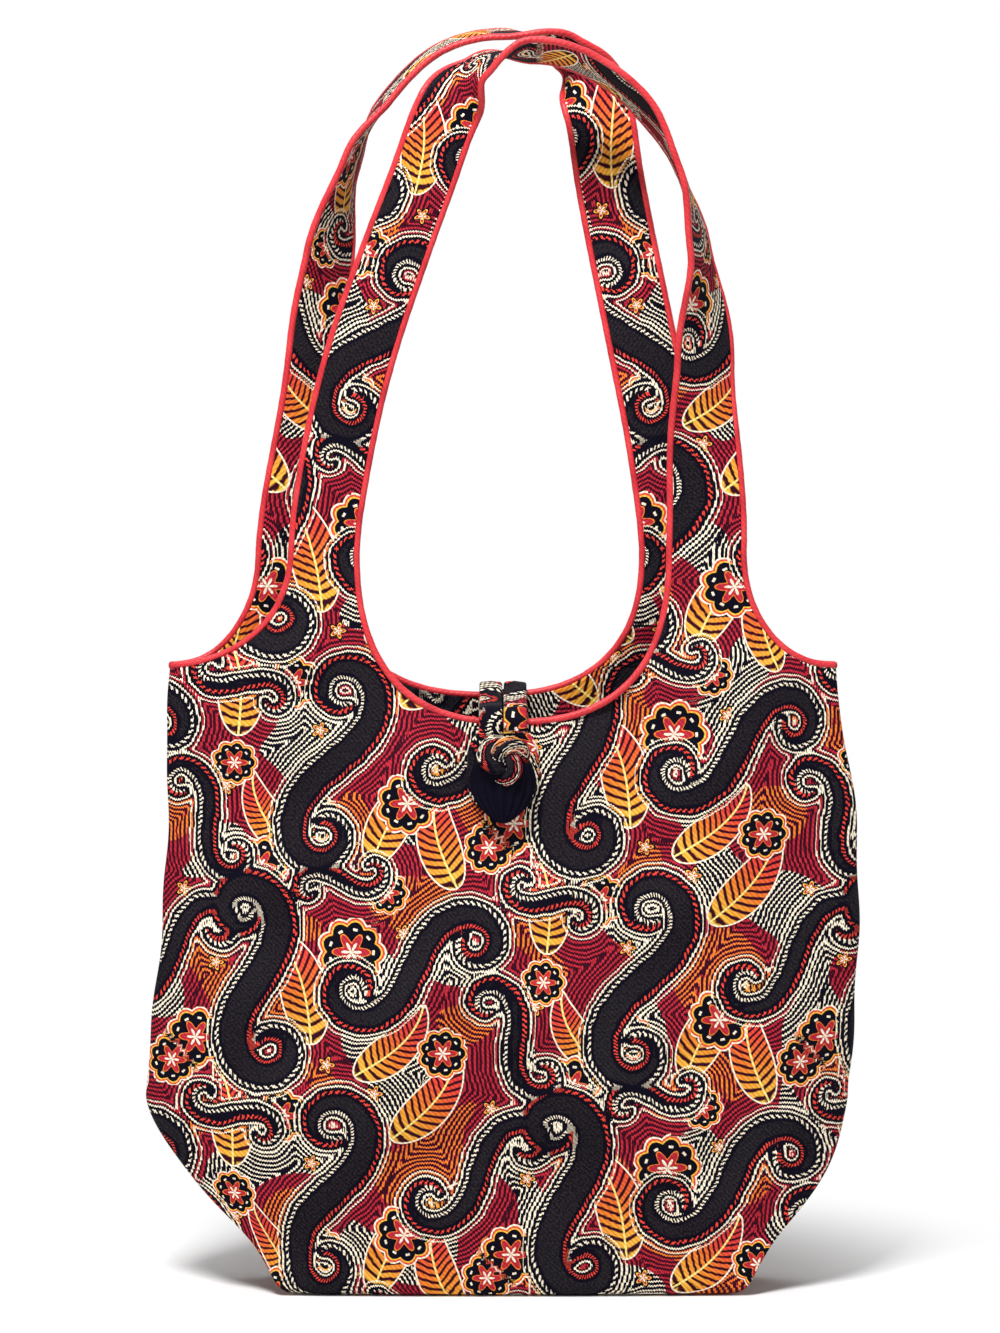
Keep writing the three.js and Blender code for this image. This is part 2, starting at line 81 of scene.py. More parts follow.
# Neckline, armholes and straps
FOLD_Z = 375
SIDE_HEIGHT = 315
FRONT_NECK = 287
BACK_NECK = 299
STRAP_CENTRE = 95
STRAP_WIDTH = 30
STRAP_FACE = 1.65  # from the middle of a strap to its outer face
STRAP_CROWN = 0.9  # swell across a strap
ROOT_HALF_DEPTH = 10
FLAT_FOOT = 8
STRAP_RISE = 255
STRAP_LEAN = 16
TOP_TILT = -12
NECK_CURVE = 2.5  # power of the neckline's oval: 2 would be an ellipse
NECK_HALF_WIDTH = STRAP_CENTRE - STRAP_WIDTH / 2
ARMHOLE_X = STRAP_CENTRE + STRAP_WIDTH / 2

# Cloth, piping and the closure
STACK = 2.8  # brocade and lining together
CLOTH = 1.1
LINING = 0.8
PIPING_RADIUS = 1.75
LUMP_SPACINGS = (11.4, 6.9)  # of the unevenness along the cord
PIPING_SEAT = 1.3  # from the cloth's edge to the middle of the cord
BEND = (FOLD_Z - 16, FOLD_Z + 18)  # where the cloth bends when a strap flops over
KNOT_DROP = 16

TURN_ROUND = Matrix.Rotation(math.pi, 3, "Z")  # the back is the front turned half round

# Facets: spacing of the cloth's grid, fine enough to carry the figure of the weave
COLUMNS = 72
SIDE_COLUMNS = 3
BODY_ROWS = 124
BASE_ROWS = 12
SIDE_CROWDING = 0.35  # how much closer the columns lie towards the sides
PRONG_ROWS = 70
ARM_ROWS = 120
CORD_SPACING = 2.4
CORD_SIDES = 12
HAIR = 1e-6  # slack for comparing places on a grid


# Small tools


def linear(colour):
    """An sRGB hex colour as linear RGBA."""
    parts = [int(colour[i : i + 2], 16) / 255 for i in (1, 3, 5)]
    return [c / 12.92 if c <= 0.04045 else ((c + 0.055) / 1.055) ** 2.4 for c in parts] + [1.0]


def mix(a, b, t):
    return a + (b - a) * t


def ease(low, high, value):
    t = np.clip((value - low) / (high - low), 0, 1)
    return t * t * (3 - 2 * t)


def unit(v):
    return v / np.linalg.norm(v, axis=-1, keepdims=True)


def join(*parts):
    """Points from their coordinates, each an array or one number for all."""
    return np.stack(np.broadcast_arrays(*parts), -1)


def distances(line):
    """Distance along a line of points from its first, at each of them."""
    return np.concatenate([[0], np.cumsum(np.linalg.norm(np.diff(line, axis=0), axis=1))])


def connect(node, links):
    """Gives a node's inputs their values, or links them to other nodes."""
    for socket, value in links.items():
        if isinstance(value, bpy.types.Node):
            value = value.outputs[0]
        if isinstance(value, bpy.types.NodeSocket):
            node.id_data.links.new(value, node.inputs[socket])
        else:
            node.inputs[socket].default_value = value
    return node


def add_node(tree, kind, links=None, bands=(), smooth=False, **settings):
    """Adds a node with its settings, its inputs' values or links, and the colour bands of a ramp."""
    node = tree.nodes.new(f"ShaderNode{kind}")
    for name, value in settings.items():
        setattr(node, name, value)
    for i, (start, colour, *cover) in enumerate(bands):
        stop = node.color_ramp.elements[i] if i < 2 else node.color_ramp.elements.new(1)
        stop.position = start
        stop.color = linear(colour)[:3] + (cover or [1.0])
        node.color_ramp.interpolation = "LINEAR" if smooth else "CONSTANT"
    return connect(node, links or {})


# The body's form


def half_width(z):
    share = np.clip((z - CORNER_HEIGHT) / (SIDE_HEIGHT - CORNER_HEIGHT), 0, 1)
    upper = mix(BODY_HALF_WIDTH, SIDE_TOP_HALF_WIDTH, share**2)
    rise = 1 - (1 - np.clip(z / CORNER_HEIGHT, 0, 1)) ** CORNER_BOW
    return np.where(z >= CORNER_HEIGHT, upper, mix(BASE_HALF_WIDTH, BODY_HALF_WIDTH, rise))


def half_depth(z):
    lower = mix(BASE_HALF_DEPTH, BODY_HALF_DEPTH, ease(0, FULLEST_HEIGHT, z))
    fall = ease(FULLEST_HEIGHT, FRONT_NECK * 1.12, z)
    upper = mix(BODY_HALF_DEPTH, MOUTH_HALF_DEPTH, fall)
    upper = mix(upper, ROOT_HALF_DEPTH, ease(FRONT_NECK, FOLD_Z, z))
    return np.where(z <= FULLEST_HEIGHT, lower, upper)


def side_depth(z):
    return mix(BASE_HALF_DEPTH * 0.9, SIDE_HALF_DEPTH, ease(0, CORNER_HEIGHT * 1.15, z))


def corner_tuck(z):
    return CORNER_TUCK * (1 - ease(0, CORNER_HEIGHT * 1.1, z))


def front_depth(x, z):
    across = np.clip(np.abs(x) / half_width(z), 0, 1)
    crown = (1 - across ** CROWN[0]) ** CROWN[1]
    rounded = mix(side_depth(z), half_depth(z), crown)
    return mix(rounded, ROOT_HALF_DEPTH, ease(SIDE_HEIGHT, FOLD_Z - FLAT_FOOT, z))


def edge_rounding(z):
    low = np.clip(BASE_ROUNDING - z, 0, BASE_ROUNDING)
    return BASE_ROUNDING - np.sqrt(BASE_ROUNDING**2 - low**2)


# Heights of the cloth's unevenness. Its waves are in radians for each millimetre
DENT = 2.4
DRAG = 3.4
RIPPLE = 1.9
HANG = 2.2
PUCKER = 1.6
PUCKERS = 7  # in a full turn round a corner of the base
PUCKER_HEIGHT = 12
PUCKER_REACH = 55
HANG_HEIGHT, HANG_REACH = 235, 60
CLOSURE_REACH = 36  # the closure holds the cloth flat beside it


def slack(x, z, side):
    """Soft unevenness of the cloth: dents, drag lines off the straps, hanging folds, puckered corners."""
    dent = DENT * np.sin(x * 0.021 + 1.3 * side) * np.sin(z * 0.027 + 0.6 + side)
    fan = np.abs(x + 14) * 0.85 + z * 0.45
    drag = DRAG * np.sin(fan * 0.062 + side) * np.sin(z * 0.019 + 2.1)
    ripple = RIPPLE * np.sin((x * 0.35 - z) * 0.11 + 2.0 * side) * np.sin(x * 0.047 + 0.4)
    hang = HANG * np.sin(x * 0.083 + 0.7 * side) * np.exp(-(((z - HANG_HEIGHT) / HANG_REACH) ** 2))
    out, up = np.abs(x) - BASE_HALF_WIDTH, z - PUCKER_HEIGHT
    fade = np.exp(-np.hypot(out, up) / PUCKER_REACH)
    pucker = PUCKER * np.sin(PUCKERS * np.arctan2(up, out) + side) * fade
    inside = ease(0, 40, half_width(z) - np.abs(x)) * ease(6, 50, z) * (1 - ease(300, 350, z))
    closure = np.exp(-((x / CLOSURE_REACH) ** 2)) * ease(190, 235, z)
    return inside * (1 - closure) * (dent + drag + ripple + hang + pucker)


# How far a side seam wanders: its slow lean low down and high up, its ripples, and the boxed corner
SEAM_LEAN = (3, 6)
SEAM_RIPPLES = (1.3, 0.7)
BASE_SHIFT = 5
CORNER_DENT = 6.5
CORNER_DENT_HEIGHT, CORNER_DENT_REACH = 26, 20


def edge_wave(z, hand):
    """How far a side seam wanders from its drawn line, the two in opposite ways."""
    held = ease(10, 70, z) * (1 - ease(SIDE_HEIGHT - 50, SIDE_HEIGHT, z))
    lean = hand * mix(*SEAM_LEAN, ease(100, 230, z)) * np.sin((z - 150) * 0.0233)
    long, short = SEAM_RIPPLES
    ripples = long * np.sin(z * 0.043 + 1.7 * hand) + short * np.sin(z * 0.105 + hand)
    dent = CORNER_DENT * np.exp(-(((z - CORNER_DENT_HEIGHT) / CORNER_DENT_REACH) ** 2))
    return BASE_SHIFT * hand * (1 - ease(60, 110, z)) - dent + held * (lean + ripples)


def front_point(x, z, inset, side):
    rounding = edge_rounding(z)
    half = half_width(z)
    wave = edge_wave(z, np.sign(x) * -side) * (np.abs(x) / half) ** 2
    turned = x * (half - rounding - inset + wave) / half
    px = np.where(z > SIDE_HEIGHT, x, turned)
    py = rounding + inset - front_depth(x, z) - slack(x, z, side)
    return join(px, py, np.maximum(z, inset))


def side_point(hand, share, z, inset, side):
    rounding = edge_rounding(z)
    half = half_width(z) - rounding - inset + edge_wave(z, hand * -side)
    tuck = corner_tuck(z) * np.sin(share * math.pi / 2)
    depth = np.maximum(side_depth(z) - rounding - inset, SEAM_GAP)
    return join(hand * (half - tuck), -mix(depth, SEAM_GAP, share), np.maximum(z, inset))


def neck_x(z, neck):
    drop = np.clip((FOLD_Z - z) / (FOLD_Z - neck), 0, 1)
    return NECK_HALF_WIDTH * (1 - drop**NECK_CURVE) ** (1 / NECK_CURVE)


def armhole_x(z):
    drop = np.clip((FOLD_Z - z) / (FOLD_Z - SIDE_HEIGHT), 0, 1)
    return SIDE_TOP_HALF_WIDTH - (SIDE_TOP_HALF_WIDTH - ARMHOLE_X) * np.sqrt(1 - drop**2)


# Each strap's run, seen from its own side: shares of the spread, the rise and the lean, and the turn
FRONT_ROUTE = np.array([
    [-1, 0, 0, 90], [-0.975, 0.078, 0, 90], [-0.885, 0.224, 0.08, 90], [-0.735, 0.431, 0.3, 90],
    [-0.495, 0.71, 0.62, 90], [-0.345, 0.875, 0.8, 88], [-0.165, 0.968, 0.93, 26],
    [0.125, 1, 1, TOP_TILT], [0.44, 0.973, 1, TOP_TILT], [0.735, 0.89, 0.93, TOP_TILT],
    [0.935, 0.753, 0.77, 2], [1.03, 0.588, 0.55, 20], [1.04, 0.372, 0.2, 58],
    [1.015, 0.137, 0, 88], [1, 0, 0, 90],
])
BACK_ROUTE = np.array([
    [-1, 0, 0, 90], [-0.98, 0.078, 0, 90], [-0.915, 0.224, 0.08, 90], [-0.805, 0.431, 0.3, 90],
    [-0.665, 0.71, 0.62, 90], [-0.59, 0.865, 0.8, 88], [-0.44, 0.96, 0.93, 26],
    [-0.09, 1, 1, TOP_TILT], [0.27, 0.97, 1, TOP_TILT], [0.565, 0.872, 0.93, TOP_TILT],
    [0.75, 0.755, 0.77, 10], [0.862, 0.575, 0.55, 42], [0.905, 0.39, 0.2, 66],
    [0.97, 0.137, 0, 88], [1, 0, 0, 90],
])
STRAP_MIDDLE = STRAP_FACE - ROOT_HALF_DEPTH
STATIONS = np.linspace(0, len(FRONT_ROUTE) - 1, 1401)
FOOT_FLARE = 4.5  # how much wider one foot of a strap is
DRAWN_TO = 15  # where across the bag the tops of the straps are drawn to
# One side of the bag. Its strap hangs sideways at the feet and higher up, is drawn in by a share, and sinks
Half = namedtuple("Half", "name side neck route sway draw sink")
FRONT = Half("front", -1, FRONT_NECK, FRONT_ROUTE, (5, 2), 0.06, 8)
BACK = Half("back", 1, BACK_NECK, BACK_ROUTE, (8, 7), 0.02, -6)


def hung(points, half):
    """Hangs the strap and the top of its panel a little to one side, as the photographed bag hangs."""
    x, z = points[:, 0], points[:, 2]
    up = z - FOLD_Z
    free = ease(SIDE_TOP_HALF_WIDTH, ARMHOLE_X + 8, np.abs(x)) * ease(FRONT_NECK - 100, FRONT_NECK + 40, z)
    foot = ease(SIDE_HEIGHT, FOLD_Z, z) * (1 - ease(0, 90, up))
    flare = FOOT_FLARE * foot * ease(NECK_HALF_WIDTH, ARMHOLE_X, x)
    sway = mix(*half.sway, ease(0, 80, up))
    drawn = half.draw * (DRAWN_TO - x) * ease(90, 220, up)
    sunk = half.sink * ease(150, STRAP_RISE, up)
    return points + join(free * (sway + flare + drawn), 0, -sunk)


def spline(points, at):
    """Smooth curve through points, read at stations counted from 0."""
    ends = np.vstack([2 * points[0] - points[1], points, 2 * points[-1] - points[-2]])
    i = np.clip(np.floor(at).astype(int), 0, len(points) - 2)
    t = (at - i)[:, None]
    p0, p1, p2, p3 = (ends[i + k] for k in range(4))
    m1, m2 = (p2 - p0) / 2, (p3 - p1) / 2
    h1, h2 = 2 * t**3 - 3 * t**2 + 1, t**3 - 2 * t**2 + t
    return h1 * p1 + h2 * m1 + (1 - h1) * p2 + (t**3 - t**2) * m2


def strap_middle(route, stations):
    scale = np.array([STRAP_CENTRE, -STRAP_LEAN, STRAP_RISE])
    return spline(route[:, [0, 2, 1]] * scale + np.array([0, STRAP_MIDDLE, FOLD_Z]), stations)


def strap_run(route):
    """Distance along a strap from its left foot, at each of the stations."""
    return distances(strap_middle(route, STATIONS))


def strap_frames(route, stations):
    """Middle, direction to the neckline edge, and outer normal of a strap at stations."""
    step = 0.02
    last = len(route) - 1
    before = strap_middle(route, np.clip(stations - step, 0, last))
    after = strap_middle(route, np.clip(stations + step, 0, last))
    along = unit(after - before)
    foot = np.minimum(stations, last - stations)
    upright = np.where(stations < last / 2, 1.0, -1.0)[:, None] * np.array([[0, 0, 1.0]])
    along = unit(mix(upright, along, ease(0, 0.6, foot)[:, None]))
    i = np.clip(np.floor(stations).astype(int), 0, last - 1)
    turn = np.radians(mix(route[i, 3], route[i + 1, 3], ease(0, 1, stations - i)))[:, None]
    inward = unit(join(along[:, 2], 0, -along[:, 0]))
    across = inward * np.sin(turn) + np.array([[0, -1.0, 0]]) * np.cos(turn)
    across = unit(across - along * np.sum(across * along, -1, keepdims=True))
    return strap_middle(route, stations), across, np.cross(across, along)


def strap_point(route, run, across, height):
    """Points on a strap: run along it from the left foot, across towards the neckline, height off it."""
    centre, width, normal = strap_frames(route, np.interp(run, strap_run(route), STATIONS))
    return centre + width * np.asarray(across)[..., None] + normal * np.asarray(height)[..., None]


# Sheets of cloth from grids

CUT = ("cut_u", "cut_v")  # across and along the flat cut, in millimetres


def new_cloth():
    """An empty mesh whose points carry where they lie in the flat cut."""
    bm = bmesh.new()
    for name in CUT:
        bm.verts.layers.float.new(name)
    return bm


def patch(bm, columns, rows, place):
    """Adds a grid whose points go where place says: positions, and the flat cut's coordinates."""
    made = bmesh.ops.create_grid(bm, x_segments=columns, y_segments=rows, size=1)["verts"]
    grid = np.clip([v.co[:2] for v in made], -1, 1)
    points, cut = place(grid[:, 0], (grid[:, 1] + 1) / 2)
    across, along = (bm.verts.layers.float[name] for name in CUT)
    for vertex, point, (u, v) in zip(made, points, cut):
        vertex.co = point * MM
        vertex[across] = u
        vertex[along] = v


def prong_heights(neck):
    """Heights of the rows beside the neckline, close together where an edge runs nearly level."""
    bend = np.sin(np.linspace(0, math.pi / 2, 400)) ** (2 / NECK_CURVE)
    z = np.unique([FOLD_Z - (FOLD_Z - low) * bend for low in (neck, SIDE_HEIGHT)])
    edges = join(neck_x(z, neck), np.where(z > SIDE_HEIGHT, armhole_x(z), SIDE_TOP_HALF_WIDTH), z)
    run = np.concatenate([[0], np.cumsum(np.abs(np.diff(edges, axis=0)).max(1))])
    rows = np.interp(np.linspace(0, run[-1], PRONG_ROWS + 1), run, z)
    rows[np.argmin(np.abs(rows - SIDE_HEIGHT))] = SIDE_HEIGHT
    return rows


def panel_cloth(name, half, inset, thickness):
    """One side of the bag in one cut: half of the base, the panel and its strap."""
    total = COLUMNS + SIDE_COLUMNS
    edge = COLUMNS / total
    side, neck = half.side, half.neck
    strap_length = strap_run(half.route)[-1]

    def spread(c):
        return mix(c, np.sin(c * math.pi / 2), SIDE_CROWDING)

    def section(c, z):
        front = np.abs(c) <= edge + HAIR
        x = spread(np.clip(c / edge, -1, 1)) * half_width(z)
        share = np.clip((np.abs(c) - edge) / (1 - edge), 0, 1)
        points = np.where(
            front[:, None], front_point(x, z, inset, side), side_point(np.sign(c), share, z, inset, side)
        )
        return points, x + np.sign(c) * share * side_depth(z)

    def body(c, r):
        z = mix(0, neck, r**1.08)
        points, u = section(c, z)
        return hung(points, half), join(u, z)

    def base(c, r):
        floor = np.zeros_like(c)
        points, u = section(c, floor)
        hand = np.where(c < 0, -1.0, 1.0)
        valley = section(hand, floor)[0][:, 0]
        crease = section(hand * edge, floor)[0][:, 0]
        flat = points[:, 0] * np.abs(valley / crease)
        reach = np.where(np.abs(c) > edge - HAIR, valley, flat)
        seam = join(reach, -SEAM_GAP, points[:, 2])
        reach_back = (r - 1) * np.abs(points[:, 1])
        return mix(seam, points, r[:, None]), join(u, reach_back)

    rows = prong_heights(neck)

    def prong(hand, c, r):
        even = (1 + hand * c) / 2
        z = rows[np.rint(r * PRONG_ROWS).astype(int)]
        outer = np.where(z > SIDE_HEIGHT, armhole_x(z), half_width(z))
        on = np.clip(even / edge, 0, 1)
        x = hand * mix(neck_x(z, neck), outer, mix(spread(on), on, ease(SIDE_HEIGHT, FOLD_Z, z)))
        share = np.where(z > SIDE_HEIGHT, 0, np.clip((even - edge) / (1 - edge), 0, 1))
        flank = (share > 0)[:, None]
        points = np.where(flank, side_point(hand, share, z, inset, side), front_point(x, z, inset, side))
        return hung(points, half), join(x + hand * share * side_depth(z), z)

    def arm(hand, c, r):
        run = r * strap_length / 2
        across = c * STRAP_WIDTH / 2
        crown = STRAP_CROWN * (1 - c**2) * ease(0, 40, run) * (-1 if inset else 1)
        along = run if hand < 0 else strap_length - run
        points = strap_point(half.route, along, -hand * across, STRAP_FACE - inset + crown)
        return hung(points, half), join(hand * STRAP_CENTRE + across, FOLD_Z + run)

    bm = new_cloth()
    patch(bm, 2 * total, BODY_ROWS, body)
    patch(bm, 2 * total, BASE_ROWS, base)
    for hand in (-1, 1):
        patch(bm, total, PRONG_ROWS, partial(prong, hand))
        patch(bm, COLUMNS, ARM_ROWS, partial(arm, hand))
    bmesh.ops.remove_doubles(bm, verts=bm.verts, dist=0.03 * MM)
    if side > 0:
        bmesh.ops.rotate(bm, verts=bm.verts, cent=(0, 0, 0), matrix=TURN_ROUND)
    if inset:
        bmesh.ops.reverse_faces(bm, faces=bm.faces)
    return sheet_object(name, bm, thickness)


def new_object(name, bm):
    """Makes a smooth object of a mesh."""
    for face in bm.faces:
        face.smooth = True
    mesh = bpy.data.meshes.new(name)
    bm.to_mesh(mesh)
    bm.free()
    made = bpy.data.objects.new(name, mesh)
    bpy.context.collection.objects.link(made)
    return made


def sheet_object(name, bm, thickness):
    """Makes an object of a sheet, with its thickness on the side that doesn't show."""
    piece = new_object(name, bm)
    wall = piece.modifiers.new("thickness", "SOLIDIFY")
    wall.thickness = thickness * MM
    wall.offset = -1
    bpy.context.view_layer.update()
    done = bpy.data.meshes.new_from_object(piece.evaluated_get(bpy.context.evaluated_depsgraph_get()))
    piece.modifiers.clear()
    for vertex in done.vertices:
        vertex.co.z = max(vertex.co.z, 0)
    piece.data = done
    return piece


# Cords, bands and the knot


def sweep(name, line, section, columns, closed=False):
    """A tube along a line. section(angle, share, whole) gives two offsets from it and a flat width."""
    ahead = np.roll(line, -1, 0) - np.roll(line, 1, 0)
    if not closed:
        ahead[0], ahead[-1] = line[1] - line[0], line[-1] - line[-2]
    ahead = unit(ahead)
    first = np.cross(ahead[0], [0, 1.0, 0])
    sides = [unit(first if np.linalg.norm(first) > 0.1 else np.cross(ahead[0], [1.0, 0, 0]))]
    for along in ahead[1:]:
        sides.append(unit(sides[-1] - along * np.dot(sides[-1], along)))
    sides = np.array(sides)
    if closed:
        across = np.cross(ahead[0], sides[0])
        slip = math.atan2(np.dot(sides[-1], across), np.dot(sides[-1], sides[0]))
        turn = -slip * np.linspace(0, 1, len(line))[:, None]
        sides = sides * np.cos(turn) + np.cross(ahead, sides) * np.sin(turn)
        line, ahead, sides = (np.vstack([a, a[:1]]) for a in (line, ahead, sides))
    others = np.cross(ahead, sides)
    run = distances(line)

    def place(c, r):
        row = np.rint(r * (len(line) - 1)).astype(int)
        across, out, flat = section(c * math.pi, run[row] / run[-1], run[-1])
        points = line[row] + sides[row] * across[:, None] + others[row] * out[:, None]
        return points, join(flat, run[row])

    return tube_object(name, columns, len(line) - 1, place, closed)


def tube_object(name, columns, rows, place, closed=False):
    """Makes an object of a grid rolled up into a tube: its ends meet, or else they are filled."""
    bm = new_cloth()
    patch(bm, columns, rows, place)
    bmesh.ops.remove_doubles(bm, verts=bm.verts, dist=0.005 * MM)
    if not closed:
        bmesh.ops.holes_fill(bm, edges=[e for e in bm.edges if e.is_boundary], sides=0)
    bmesh.ops.recalc_face_normals(bm, faces=bm.faces)
    return new_object(name, bm)


def even(points, spacing):
    """The same line with its points evenly spaced."""
    run = distances(points)
    at = np.linspace(0, run[-1], max(int(run[-1] / spacing), 4))
    return join(*(np.interp(at, run, points[:, k]) for k in range(3)))


def strap_edge(route, towards_neck):
    """The middle of the cord on one edge of a strap, from its left foot to its right foot."""
    run = np.linspace(0, strap_run(route)[-1], 260)
    reach = towards_neck * (STRAP_WIDTH / 2 + PIPING_SEAT)
    return strap_point(route, run, reach, STRAP_FACE - STACK / 2)


def body_edge(flat):
    """A line in the front view laid on the middle of the cloth."""
    depth = front_depth(flat[:, 0], flat[:, 1])
    return join(flat[:, 0], STACK / 2 - depth, flat[:, 1])


def outward(flat, reach):
    along = unit(np.gradient(flat, axis=0))
    return flat + join(along[:, 1], -along[:, 0]) * reach


def neck_line(half):
    """All round the opening: down the right of the neckline, up its left, and over the strap."""
    angle = np.linspace(math.pi / 2, 0, 60)
    right = join(
        NECK_HALF_WIDTH * np.cos(angle) ** (2 / NECK_CURVE),
        FOLD_Z - (FOLD_Z - half.neck) * np.sin(angle) ** (2 / NECK_CURVE),
    )
    right = body_edge(outward(right, -PIPING_SEAT))
    left = right * np.array([-1, 1, 1])
    strap = strap_edge(half.route, 1)[::-1][1:-1]
    return even(hung(np.vstack([right, strap, left[::-1][:-1]]), half), CORD_SPACING)


def side_line(half):
    """Up the left armhole, over the outer edge of the strap and down the right armhole."""
    angle = np.linspace(0, math.pi / 2, 40)
    spread = SIDE_TOP_HALF_WIDTH - ARMHOLE_X
    right = join(
        SIDE_TOP_HALF_WIDTH - spread * np.sin(angle),
        FOLD_Z - (FOLD_Z - SIDE_HEIGHT) * np.cos(angle),
    )
    right = body_edge(outward(right, PIPING_SEAT))
    left = right * np.array([-1, 1, 1])
    strap = strap_edge(half.route, -1)[1:-1]
    return even(hung(np.vstack([left, strap, right[::-1]]), half), CORD_SPACING)


def cord_section(angle, share, whole):
    """A round cord under drawn cloth, a little uneven along its length."""
    turn = share * 2 * math.pi
    long, short = (turn * round(whole / spacing) for spacing in LUMP_SPACINGS)
    radius = PIPING_RADIUS * (1 + 0.025 * np.sin(long) + 0.02 * np.sin(short + angle))
    return radius * np.cos(angle), radius * np.sin(angle), PIPING_RADIUS * angle


def piping(name, line, closed, side):
    piece = sweep(name, line, cord_section, CORD_SIDES, closed)
    if side > 0:
        piece.data.transform(TURN_ROUND.to_4x4())
    return piece


# The closure: a knot on the front, and a band from the back neckline round it
KNOT_Z = FRONT_NECK - KNOT_DROP
KNOT_Y = -35.3
EYE_RADIUS = 11.7
RING_WIDTH = 6.2
RING_RADIUS = EYE_RADIUS + RING_WIDTH
EYE_SLACK = 12  # straight run of the eye
LEG_SLIT = 0.35  # half of the gap between the two legs
LEG_WIDTH = 11.65
BAND_GAP = 0.6  # from the panel to the band
LEG_HALF, RING_HALF = 1.6, 2.5  # half of the band's thickness
ANCHOR_LENGTH = 28
ANCHOR_HALF = 1.05
KNOT_REACH = 6.2  # from the knot's middle to the middle of its lobes
KNOT_LOBE = 3.3
STRIP_RADIUS = 3.9  # of the strip that is tied, gathered up
STRIP_WIDTH = 52
STEM_RADIUS = 3.4
TAIL_REST = 9.8  # from the panel to the middle of the knot's tail, over the band
TAIL_LENGTH = 32
TAIL_PLEATS = 17


def front_clear(z):
    """Where the band's inner face lies at a height."""
    return float(-front_depth(0.0, z) - BAND_GAP)


BACK_FACE = float(front_depth(0.0, BACK_NECK))
HINGE = (BACK_FACE + 2.8, BACK_NECK + 4.6)
PIPING_TOP = FRONT_NECK + 4.3
EYE_MIDDLE = KNOT_Z - EYE_SLACK
LOOP_END = EYE_MIDDLE - RING_RADIUS - RING_WIDTH
# The band seen from the side, from its hinge to the end of its eye: along Y and up
LOOP_SIDE = np.array([
    HINGE,
    (HINGE[0] - 6.6, HINGE[1]),
    (0, (HINGE[1] + PIPING_TOP) / 2),
    (front_clear(FRONT_NECK) + 2.6, PIPING_TOP + 1.9),
    (front_clear(FRONT_NECK) - 1.8, PIPING_TOP - 2.2),
    (front_clear(KNOT_Z) - 0.3, KNOT_Z),
    (front_clear(EYE_MIDDLE), EYE_MIDDLE),
    (front_clear(LOOP_END), LOOP_END),
])
LOOP_LINE = spline(LOOP_SIDE, np.linspace(0, len(LOOP_SIDE) - 1, 600))
LOOP_RUN = distances(LOOP_LINE)


def loop_point(x, run, height):
    """Points on the band: across it, along it from its hinge, and off its inner face."""

    def at(where):
        return np.array([np.interp(where, LOOP_RUN, LOOP_LINE[:, k]) for k in range(2)])

    step = 0.4
    y, z = at(run)
    dy, dz = at(run + step) - at(run - step)
    size = np.hypot(dy, dz)
    return join(x, y + height * dz / size, z - height * dy / size)


def filled_out(wave, power):
    """A wave with fuller shoulders, the squarer the lower the power."""
    return np.sign(wave) * np.abs(wave) ** power


def loop_outline():
    """Inner and outer edge of one leg in the flat, from the hinge to the bottom of the eye."""
    upper = float(np.interp(-KNOT_Z, -LOOP_LINE[:, 1], LOOP_RUN))
    lower = upper + EYE_SLACK
    reach = LEG_SLIT + LEG_WIDTH
    rows = [(LEG_SLIT, run, reach, run) for run in np.linspace(0, (upper - EYE_RADIUS) * 0.93, 9)]
    starts = math.asin(LEG_SLIT / EYE_RADIUS), math.asin(reach / RING_RADIUS)
    for share in np.linspace(0, 1, 6):
        inner, outer = (mix(start, math.pi / 2, share) for start in starts)
        rows.append((
            EYE_RADIUS * math.sin(inner), upper - EYE_RADIUS * math.cos(inner),
            RING_RADIUS * math.sin(outer), upper - RING_RADIUS * math.cos(outer),
        ))
    for angle in np.linspace(math.pi / 2, math.pi, 8):
        dx, dz = math.sin(angle), math.cos(angle)
        rows.append((EYE_RADIUS * dx, lower - EYE_RADIUS * dz, RING_RADIUS * dx, lower - RING_RADIUS * dz))
    return np.array(rows)


def closure_band():
    """Two legs side by side from the hinge, parted round the knot and joined below it, in soft pleats."""
    right = loop_outline()
    left = right[::-1][1:] * np.array([-1, 1, -1, 1])
    rows = spline(np.vstack([right, left]), np.linspace(0, 2 * len(right) - 2, 180))
    middle, half = (rows[:, 2:] + rows[:, :2]) / 2, (rows[:, 2:] - rows[:, :2]) / 2
    run = distances(middle)
    puff = ease(30, 55, middle[:, 1] - middle[0, 1])

    def place(c, r):
        i = np.rint(r * (len(rows) - 1)).astype(int)
        angle = c * math.pi
        across = filled_out(np.cos(angle), mix(0.5, 0.9, puff[i]))
        out = filled_out(np.sin(angle), 0.9)
        pleat = 0.22 * np.sin(across * 7 + run[i] * 0.16) + 0.18 * np.sin(run[i] * 0.5 + across * 2)
        flat = middle[i] + half[i] * across[:, None]
        height = mix(LEG_HALF, RING_HALF, puff[i]) * (1 + out) + pleat * np.clip(out, 0, None)
        points = loop_point(flat[:, 0], flat[:, 1], height)
        return points, join(across * 4, run[i])

    return tube_object("closure_band", 20, len(rows) - 1, place)


